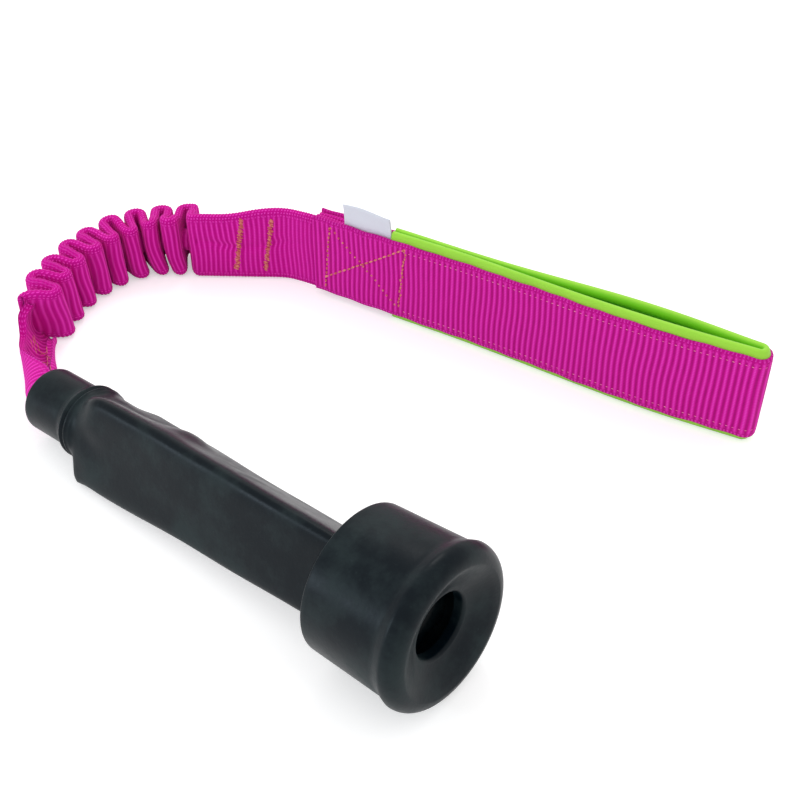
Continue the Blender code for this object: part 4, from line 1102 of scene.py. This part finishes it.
# Each length's end, the solid that it replaces, and the two bodies and the stretch it bends over.
lengths = {"strap_cloth": (strap_end, "sleeve_strap", "handle", "strap", *strap_hinge),
           "gathers_entry": (fold_mark(1.25), "sleeve_gathers_1", "strap", "gathers_1",
                             *zone(0.05, 1.1)),
           "gathers_upper": (fold_mark(3.25), "sleeve_gathers_2", "gathers_1", "gathers_2",
                             *zone(1.4, 3.1)),
           "gathers_middle": (fold_mark(5.25), "sleeve_gathers_3", "gathers_2", "gathers_3",
                              *zone(3.6, 5.1)),
           "gathers_lower": (fold_mark(7.25), "sleeve_gathers_4", "gathers_3", "gathers_4",
                             *zone(5.4, 7.1)),
           "gathers_end": (sleeve_route.length, None, "gathers_4", "twist", *zone(7.4, 8.3))}
first = 0
for name, (last, node, *turning) in lengths.items():
    def place_length(distance, turn, first=first):
        return place_sleeve(first + distance, turn)

    span = last - first
    columns = round(span / SLEEVE_RIB_PITCH * SLEEVE_COLUMNS_PER_RIB)
    cloth = roll_strip(name, sleeve_cloth, span, columns, SLEEVE_ROWS, place_length)
    if node:
        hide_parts(node)
    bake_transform(cloth)
    first = last


# Folded tab of the sleeve
# The sleeve's end is doubled over between the webbing's two ends, which the cross stitching
# sews through. Its folded edges show from above and at the loop's side.
TAB_LAYERS = 2
TAB_HALF = WEBBING_INSIDE - CLOTH_GAP
TAB_SLACK = 0.0001
TAB_INSET = 0.0004
TAB_RIB_HEIGHT = 0.0001
TAB_SWAY = ((0.0003, 190, 1),)
TAB_REACH = 0.0002
TAB_COLUMNS = 220
TAB_ROWS = 40

tab_layer = TAB_HALF / TAB_LAYERS - TAB_SLACK
tab_start = -ROOT_LENGTH + TAB_INSET
tab_end = ROOT_FRONT - TAB_HALF / 2
tab_points = [Vector((tab_start, -TAB_HALF / 2)), Vector((tab_end, -TAB_HALF / 2))]
for index in range(1, 2 * ARC_STEPS):
    angle = math.pi * index / (2 * ARC_STEPS) - math.pi / 2
    tab_points.append(Vector((tab_end - tab_layer + TAB_HALF / 2 * math.cos(angle),
                              TAB_HALF / 2 * math.sin(angle))))
tab_points.append(Vector((tab_start, TAB_HALF / 2)))
tab_route = Route(tab_points)


def place_tab(distance, turn):
    angle, level = section_place(turn)
    ribbed = face_share(angle, level, SLEEVE_WIDTH, SLEEVE_SELVEDGE)
    lift = TAB_RIB_HEIGHT * ridge(distance / SLEEVE_RIB_PITCH) * ribbed
    high = SLEEVE_LOW + SLEEVE_WIDTH + sway(distance, TAB_SWAY)
    spot = strip_point(tab_route.point(distance), tab_route.normal(distance, TAB_REACH),
                       tab_layer, SLEEVE_LOW, high, turn, lift)
    return spot, 1 - ribbed, 0


tab_cloth = roll_strip("tab_cloth", sleeve_cloth, tab_route.length, TAB_COLUMNS, TAB_ROWS,
                       place_tab)
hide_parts("sleeve_tab")
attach(tab_cloth, "handle")


# Bungee and its sheath
# A round elastic cord runs inside the sleeve from its sewn end in the strap to the twisted
# end. The sleeve's two layers close round it, and both stretch with the folds.
CORE_RADIUS = 0.004
SHEATH_RADIUS = 0.0053
CORE_HEIGHT = (FOLD_LOW + FOLD_HIGH) / 2
TUBE_COLUMNS = 24
TUBE_SIDES = 24
BRAID_SCALE = 1500.0
BUNGEE_BLACK = (0.02, 0.02, 0.022)
BUNGEE_PALE = (0.06, 0.06, 0.065)


def place_tube(radius, start):
    """Placing of a tube round the gathers' mean line, from a distance along it."""
    def place(distance, turn):
        reach = start + distance
        flat = gather_place(reach, 0) + ORIGIN
        ahead = gather_place(reach + PATH_STEP, 0) - gather_place(max(reach - PATH_STEP, 0), 0)
        normal = Vector((ahead.y, -ahead.x)).normalized()
        angle = math.tau * turn
        offset = (normal * math.cos(angle)).to_3d() + Vector((0, 0, math.sin(angle)))
        return flat.to_3d() + Vector((0, 0, CORE_HEIGHT)) + offset * radius, 0, 0
    return place


bungee_finish = Finish("black bungee", BUNGEE_BLACK, 0.7)
braid = bungee_finish.noise(bungee_finish.place(), BRAID_SCALE, 2.0)
bungee_finish.set("Base Color", bungee_finish.blend(braid.between(0.4, 0.7), BUNGEE_BLACK,
                                                    BUNGEE_PALE))
bungee_finish.bump(braid, 0.0002, 0.6)
cords = {"entry": (0.3, 1.25, "bungee_anchor"), "upper": (1.25, 3.25, "bungee_core_1"),
         "middle": (3.25, 5.25, "bungee_core_2"), "lower": (5.25, 7.25, None),
         "end": (7.25, 8.22, "bungee_end")}
for name, (first, last, node) in cords.items():
    start, end = gather_distance(first), gather_distance(last)
    _, _, *turning = lengths[f"gathers_{name}"]
    sheath = roll_strip(f"sheath_{name}", sleeve_cloth, end - start, TUBE_COLUMNS, TUBE_SIDES,
                        place_tube(SHEATH_RADIUS, start))
    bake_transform(sheath)
    bungee = roll_strip(f"bungee_{name}", bungee_finish, end - start, TUBE_COLUMNS, TUBE_SIDES,
                        place_tube(CORE_RADIUS, start))
    if node:
        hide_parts(node)
    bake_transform(bungee)


# Twisted end
# Past its last fold the sleeve rolls up on itself into a rope, which enters the liner's neck.
# Its outer edge winds round the rope, and loose thread that holds the bungee's end shows.
ROPE_RADIUS = 0.0062
ROPE_END_GAP = 0.0004
ROPE_LEAN = math.radians(38)
ROPE_UPRIGHT = math.radians(270)
ROPE_LYING = math.radians(325)
ROPE_LEAN_SHARE = 0.22
ROPE_TURN_END = math.radians(30)
ROPE_FLAP_BEND = 0.25
ROPE_ROLLED = (0.30, 1.15)
ROPE_LEFT = 0.0092
ROPE_WIDTHS = (0.025, 0.0215, 0.030)
ROPE_BREADTH = 0.0113
ROLL_RADIUS = 0.0069
ROPE_STEPS = 60
ROPE_TUCK = 0.030
ROPE_LAYER = 0.0022
ROPE_EDGE = 0.0036
ROLL_PITCH = 0.0024
ROLL_LENGTH = 0.030
ROLL_STEPS = 48
ROLL_SHEAR = 0.25
ROPE_REACH = 0.001
ROPE_SMOOTHINGS = 6
ROPE_SECTIONS = 200
ROPE_FADE = (0.001, 0.004)
ROPE_LEAST = 0.0005
ROPE_COLUMNS = 340
ROPE_ROWS = 80
SWING_BEFORE = 0.012

neck = liner_frame()
neck_axis = (neck.to_3x3() @ Vector((1, 0, 0))).normalized()
neck_pivot = neck @ Vector((-ROPE_RADIUS - ROPE_END_GAP, 0, 0))


def rope_points():
    """Centre points of the rope, from the last hump into the neck."""
    distance = gather_distance(FOLD_COUNT - 1 / 2) - ROPE_REACH
    start = gather_place(distance, 0) + ORIGIN
    ahead = gather_place(distance + ROPE_REACH, 0) - gather_place(distance - ROPE_REACH, 0)
    lean = LINER_HEADING + math.pi - ROPE_LEAN
    goal = neck_pivot.to_2d()
    reach = (goal - start).length / 3
    first = start + ahead.normalized() * reach
    second = goal + reach * Vector((math.cos(lean), math.sin(lean)))
    spots = []
    for index in range(ROPE_STEPS + 1):
        part = index / ROPE_STEPS
        rest = 1 - part
        flat = (start * rest ** 3 + first * (3 * rest * rest * part)
                + second * (3 * rest * part * part) + goal * part ** 3)
        spots.append(flat.to_3d() + Vector((0, 0, mix(CORE_HEIGHT, neck_pivot.z, ease(part)))))
    for index in range(1, ROPE_STEPS + 1):
        spots.append(neck_pivot + neck_axis * (ROPE_TUCK * index / ROPE_STEPS))
    return spots


class Curve(Line):
    """Line in space, smoothed over the turn at the neck."""

    def __init__(self, points):
        for _ in range(ROPE_SMOOTHINGS):
            inner = [(before + 2 * spot + after) / 4
                     for before, spot, after in zip(points, points[1:], points[2:])]
            points = [points[0], *inner, points[-1]]
        super().__init__(points)

    def point(self, distance):
        return super().point(min(max(distance, 0), self.length))

    def along(self, distance):
        return (self.point(distance + ROPE_REACH) - self.point(distance - ROPE_REACH)).normalized()


rope = Curve(rope_points())
ROPE_OUTSIDE = rope.length - ROPE_TUCK


def rope_section(part):
    """Points with headings of the strip's section, at a share of its way to the neck.

    Seen from the liner it starts upright, leans to the left and winds up anticlockwise from
    its lower edge, so that its upper edge ends outermost.
    """
    rolled = mix(*ROPE_ROLLED, part)
    outer = ROLL_RADIUS - ROPE_LAYER / 2
    first, least, last = ROPE_WIDTHS
    width = mix(mix(first, least, share(part, 0, 0.3)), last, ease(share(part, 0.4, 1)))
    length = width / ROLL_STEPS
    bends = []
    for index in range(ROLL_STEPS):
        place = (index + 1 / 2) / ROLL_STEPS
        radius = math.sqrt(outer * outer - ROLL_PITCH * ROLL_LENGTH * place / math.pi)
        wound = ease(share(place, 0.9 - rolled, 1.1 - rolled))
        bends.append(mix(ROPE_FLAP_BEND, 1, wound) * length / radius)
    middle = mix(ROPE_UPRIGHT, ROPE_LYING, ease(share(part, 0, ROPE_LEAN_SHARE)))
    middle -= ROPE_TURN_END * ease(share(part, 0.6, 1))
    heading = middle - sum(bends[:ROLL_STEPS // 2])
    spots, headings = [Vector((0, 0))], [heading]
    for turned in bends:
        heading += turned
        spots.append(spots[-1] + length * Vector((math.cos(heading), math.sin(heading))))
        headings.append(heading)
    edge = min(spot.x for spot in spots)
    breadth = max(spot.x for spot in spots) - edge
    drawn_in = ease(share(part, 0, 0.2)) * (1 - ease(share(part, 0.75, 1)))
    for spot in spots:
        spot.x = edge + (spot.x - edge) * mix(1, ROPE_BREADTH / breadth, drawn_in)
    left = mix(ROPE_LEFT - ROPE_LAYER, outer, ease(part)) + edge
    low = mix(CORE_HEIGHT - FOLD_LOW - ROPE_LAYER, outer, ease(part))
    low += min(spot.y for spot in spots)
    return [spot - Vector((left, low)) for spot in spots], headings


rope_sections = [rope_section(index / ROPE_SECTIONS) for index in range(ROPE_SECTIONS + 1)]


def place_rope(distance, turn):
    part = share(distance, 0, ROPE_OUTSIDE)
    spots, headings = rope_sections[round(part * ROPE_SECTIONS)]
    angle, level = section_place(turn)
    index = min(int(level * ROLL_STEPS), ROLL_STEPS - 1)
    within = level * ROLL_STEPS - index
    heading = mix(headings[index], headings[index + 1], within)
    inward = Vector((math.cos(heading), math.sin(heading)))
    outward = Vector((inward.y, -inward.x))
    waver = -ROLL_SHEAR * level * ROLL_LENGTH * part
    fade = 1 - share(distance, ROPE_OUTSIDE + ROPE_FADE[0], ROPE_OUTSIDE + ROPE_FADE[1])
    ribbed = face_share(angle, level, ROLL_LENGTH, ROPE_EDGE)
    lift = RIB_HEIGHT * ridge((distance + waver) / SLEEVE_RIB_PITCH) * ribbed * fade
    half = mix(FOLD_THICK_FAR, ROPE_LAYER, share(part, 0, 1 / 2)) / 2
    half += lift if angle == 0 else lift / 2
    flat = spots[index].lerp(spots[index + 1], within)
    flat += outward * half * math.cos(angle) - inward * half * math.sin(angle)
    along = rope.along(distance)
    left = Vector((along.y, -along.x, 0)).normalized()
    spot = rope.point(distance) - left * flat.x + left.cross(along) * flat.y
    spot.z = max(spot.z, ROPE_LEAST)
    return spot, 1 - ribbed if level < 0.5 else 0, waver


twist_cloth = roll_strip("twist_cloth", sleeve_cloth, rope.length, ROPE_COLUMNS, ROPE_ROWS,
                         place_rope)
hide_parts("sleeve_twist")
neck_pivot - rope.along(ROPE_OUTSIDE) * SWING_BEFORE
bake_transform(twist_cloth)


# Thread work
# Coral thread sews a box with a cross through the root, two dense bar tacks across the
# strap, and a loose row that catches the bungee's end in the twist.
THREAD_WIDTH = 0.0009
CORAL = (0.56, 0.075, 0.075)
CORAL_PALE = (0.80, 0.25, 0.20)
BOX_LEFT = -0.030
BOX_LENGTH = 0.0385
BOX_LOW = 0.006
BOX_HEIGHT = 0.034
BOX_LEAN = {("left", "low"): (-0.0025, 0.0), ("left", "high"): (0.0012, 0.0),
            ("right", "low"): (-0.0012, 0.0025), ("right", "high"): (0.0026, 0.0008)}
BOX_CROSS_RISE = 0.0055
BOX_ROWS = [(("left", "low"), ("left", "high"), 0, 0.0024, 0.0002, 0.7),
            (("right", "low"), ("right", "high"), 0, 0.0020, 0.0005, 0.9),
            (("left", "low"), ("right", "high"), BOX_CROSS_RISE, 0.0029, 0.00012, 0.8),
            (("left", "high"), ("right", "low"), 0, 0.0029, 0.0004, 0.35)]
BOX_DEPTH = WEBBING_INSIDE + WEBBING_THICKNESS + RIB_HEIGHT * 0.7
TACK_WIDTH = 0.0027
TACK_LEAN = (0.0032, -0.0015)
TACK_LOW = 0.006
TACK_HIGH = 0.035
TACK_PITCH = 0.0011
TACK_REACH = (0.5, 1.2)
TACK_STRAY = 0.0004
TACK_DEPTH = SLEEVE_THICKNESS / 2 + RIB_HEIGHT * 0.9
CATCH_COUNT = 22
CATCH_SPAN = (0.14, 0.72)
CATCH_ASIDE = (-0.0015, 0.0025)
CATCH_STRAY = 0.0022
CATCH_RUN = 0.0045
CATCH_LEAN = 0.0012
CATCH_WIDTH = 0.35 * THREAD_WIDTH
TOP_TURNS = 120
TOP_NEAREST = 16
THREAD_REST = 0.0001
STITCH_LEAD = 0.15

coral = thread_finish("coral thread", CORAL, CORAL_PALE)
draw = random.Random(7)


def stitched_line(first, last, pitch, wander, long_share):
    """Stitches between two plan-and-height points, a little out of line with each other."""
    spots = []
    count = round((last - first).length / pitch)
    step = (last - first) / count
    across = Vector((-step.z, 0, step.x)).normalized()
    for index in range(count):
        low = first + step * (index + STITCH_LEAD) + across * draw.uniform(-wander, wander)
        high = low + step * long_share + across * draw.uniform(-wander, wander)
        spots.append((low, high))
    return spots


def box_stitches(depth):
    """The box's two upright rows and its cross, on one face of the root.

    A row is given by its two corners, the rise of its start, the stitches' pitch and wander,
    and the share of the pitch that each of them fills.
    """
    corner = {}
    for side, x in (("left", BOX_LEFT), ("right", BOX_LEFT + BOX_LENGTH)):
        for level, z in (("low", BOX_LOW), ("high", BOX_LOW + BOX_HEIGHT)):
            lean, rise = BOX_LEAN[side, level]
            corner[side, level] = Vector((x + ORIGIN.x + lean, depth, z + rise))
    spots = []
    for first, last, rise, pitch, wander, long_share in BOX_ROWS:
        start = corner[first] + Vector((0, 0, rise))
        spots += stitched_line(start, corner[last], pitch, wander, long_share)
    return spots


def tack_stitches(station, side):
    """One bar tack: dense short stitches up one face of the strap, leaning as they rise."""
    spots = []
    count = round((TACK_HIGH - TACK_LOW) / TACK_PITCH)
    for index in range(count):
        height = TACK_LOW + index * TACK_PITCH
        pair = []
        for shift in (-TACK_WIDTH / 2, TACK_WIDTH / 2):
            mark = STRAP_TUCK + station + shift * draw.uniform(*TACK_REACH)
            mark += mix(*TACK_LEAN, index / count)
            flat = sleeve_route.point(mark) - sleeve_route.normal(mark) * TACK_DEPTH * side
            lift = height + shift / TACK_WIDTH * TACK_PITCH + draw.uniform(-1, 1) * TACK_STRAY
            pair.append(flat.to_3d() + Vector((0, 0, lift)))
        spots.append(pair)
    return spots


for name, side in (("front", -1), ("back", 1)):
    box = stitch_row(f"cross_stitches_{name}", box_stitches(ORIGIN.y + side * BOX_DEPTH),
                     THREAD_WIDTH, coral)
    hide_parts(f"box_stitch_{name}")
    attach(box, "handle")
for number, station in enumerate(TACK_STATIONS, start=1):
    for name, side in (("front", -1), ("back", 1)):
        tack = stitch_row(f"tack_stitches_{number}_{name}", tack_stitches(station, side),
                          THREAD_WIDTH, coral)
        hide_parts(f"bar_tack_{number}_{name}")
        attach(tack, "strap")


def rope_top(mark, aside):
    """Highest point of the twist at a distance along it, aside of its middle to the right."""
    along = rope.along(mark)
    right = Vector((-along.y, along.x, 0)).normalized()
    ring = [place_rope(mark, index / TOP_TURNS)[0] for index in range(TOP_TURNS)]
    ring.sort(key=lambda spot: abs((spot - rope.point(mark)).dot(right) - aside))
    top = max(ring[:TOP_NEAREST], key=lambda spot: spot.z)
    return top + Vector((0, 0, THREAD_REST))


spots = []
for index in range(CATCH_COUNT):
    mark = ROPE_OUTSIDE * mix(*CATCH_SPAN, index / CATCH_COUNT)
    aside = mix(*CATCH_ASIDE, index / CATCH_COUNT) + draw.uniform(-1, 1) * CATCH_STRAY
    spots.append([rope_top(mark, aside), rope_top(mark + CATCH_RUN, aside + CATCH_LEAN)])
catch = stitch_row("twist_stitches", spots, CATCH_WIDTH, coral)
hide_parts("twist_tack")
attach(catch, "twist")


# Sewn wad behind the neck
# The sleeve's end is folded in three lengthwise, sewn, and pulled back against the inside of
# the barrel's shoulder, so that it can't pull out of the liner.
WAD_LENGTH = 0.020
WAD_THICKNESS = 0.0042
WAD_FOLD_PITCH = 0.0049
WAD_CHORDS = (0.0032, 0.0044, 0.0032)
WAD_REACH = 0.0003
WAD_GAP = 0.0005
WAD_COLUMNS = 120
WAD_ROWS = 60
WAD_SEAT = NECK_LENGTH + 2 * RING_PITCH + SHOULDER_RUN + BARREL_WALL + WAD_GAP
TAIL_SEAM = (0.0025, 0.0001, 0.7)

wad_points = []
for index, chord in enumerate(WAD_CHORDS):
    height = (index - 1) * WAD_FOLD_PITCH
    ends = (chord, -chord) if index % 2 else (-chord, chord)
    wad_points += [Vector((end, height)) - ORIGIN for end in ends]
    if index < len(WAD_CHORDS) - 1:
        for step in range(1, ARC_STEPS):
            angle = math.pi * step / ARC_STEPS - math.pi / 2
            bulge = math.copysign(WAD_FOLD_PITCH / 2 * math.cos(angle), ends[1])
            rise = WAD_FOLD_PITCH / 2 * (1 + math.sin(angle))
            wad_points.append(Vector((ends[1] + bulge, height + rise)) - ORIGIN)
wad_route = Route(wad_points)


def place_wad(distance, turn):
    spot = strip_point(wad_route.point(distance), wad_route.normal(distance, WAD_REACH),
                       WAD_THICKNESS / 2, 0, WAD_LENGTH, turn)
    rolled = Matrix.Rotation(BARREL_ROLL + math.pi / 2, 4, "X")
    return neck @ rolled @ Vector((WAD_SEAT + spot.z, spot.x, spot.y)), 0, 0


tail_cloth = roll_strip("tail_cloth", sleeve_cloth, wad_route.length, WAD_COLUMNS, WAD_ROWS,
                        place_wad)
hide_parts("sleeve_tail")
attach(tail_cloth, "liner")
low_corner, high_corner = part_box("tail_stitch")
row = stitched_line(Vector((low_corner.x, high_corner.y, low_corner.z + WAD_GAP)),
                    Vector((high_corner.x, low_corner.y, high_corner.z - WAD_GAP)), *TAIL_SEAM)
tail_row = stitch_row("tail_stitches", row, THREAD_WIDTH, coral)
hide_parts("tail_stitch")
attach(tail_row, "liner")


# Label
# A woven white tag, folded over and caught in the root beside the webbing's near end. It
# carries nothing.
LABEL_WIDTH = 0.0245
LABEL_THICKNESS = 0.0006
LABEL_DEPTH = 0.009
LABEL_RISE = 0.010
LABEL_WHITE = (0.78, 0.81, 0.88)
LABEL_SHADE = (0.62, 0.66, 0.74)
LABEL_GRAIN = 0.0004
LABEL_WAVE = 0.0004
LABEL_DROOP = 0.0009
LABEL_STEPS = 40
LABEL_COLUMNS = 60
LABEL_ROWS = 40

label_y = -TAB_HALF + LABEL_THICKNESS / 2 + CLOTH_GAP
label_points = [Vector((mix(ROOT_FRONT - LABEL_WIDTH, ROOT_FRONT, index / LABEL_STEPS), label_y))
                for index in range(LABEL_STEPS + 1)]
label_route = Route(label_points)


def place_label(distance, turn):
    part = distance / LABEL_WIDTH
    low = PADDING_MARGIN + WEBBING_WIDTH - LABEL_DEPTH
    high = PADDING_MARGIN + WEBBING_WIDTH + LABEL_RISE
    spot = strip_point(label_route.point(distance), label_route.normal(distance),
                       LABEL_THICKNESS / 2, low, high + LABEL_WAVE * math.sin(part * 4), turn)
    free = share(spot.z, PADDING_MARGIN + WEBBING_WIDTH, high)
    spot.y += -LABEL_DROOP * free * free + LABEL_WAVE * free * math.sin(part * 5)
    return spot, 0, 0


label_finish = Finish("white label", LABEL_WHITE, 0.55, specular=0.35, sheen=0.2)
distance, turn = label_finish.along_cloth()
grain = (distance * (math.tau / LABEL_GRAIN)).math("SINE") * (turn * 420.0).math("SINE")
label_finish.set("Base Color", label_finish.blend(grain * 0.15 + 0.15, LABEL_WHITE,
                                                  LABEL_SHADE))
label_finish.bump(grain, 0.00005, 0.5)
tag = roll_strip("tag", label_finish, LABEL_WIDTH, LABEL_COLUMNS, LABEL_ROWS, place_label)
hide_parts("label")
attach(tag, "handle")
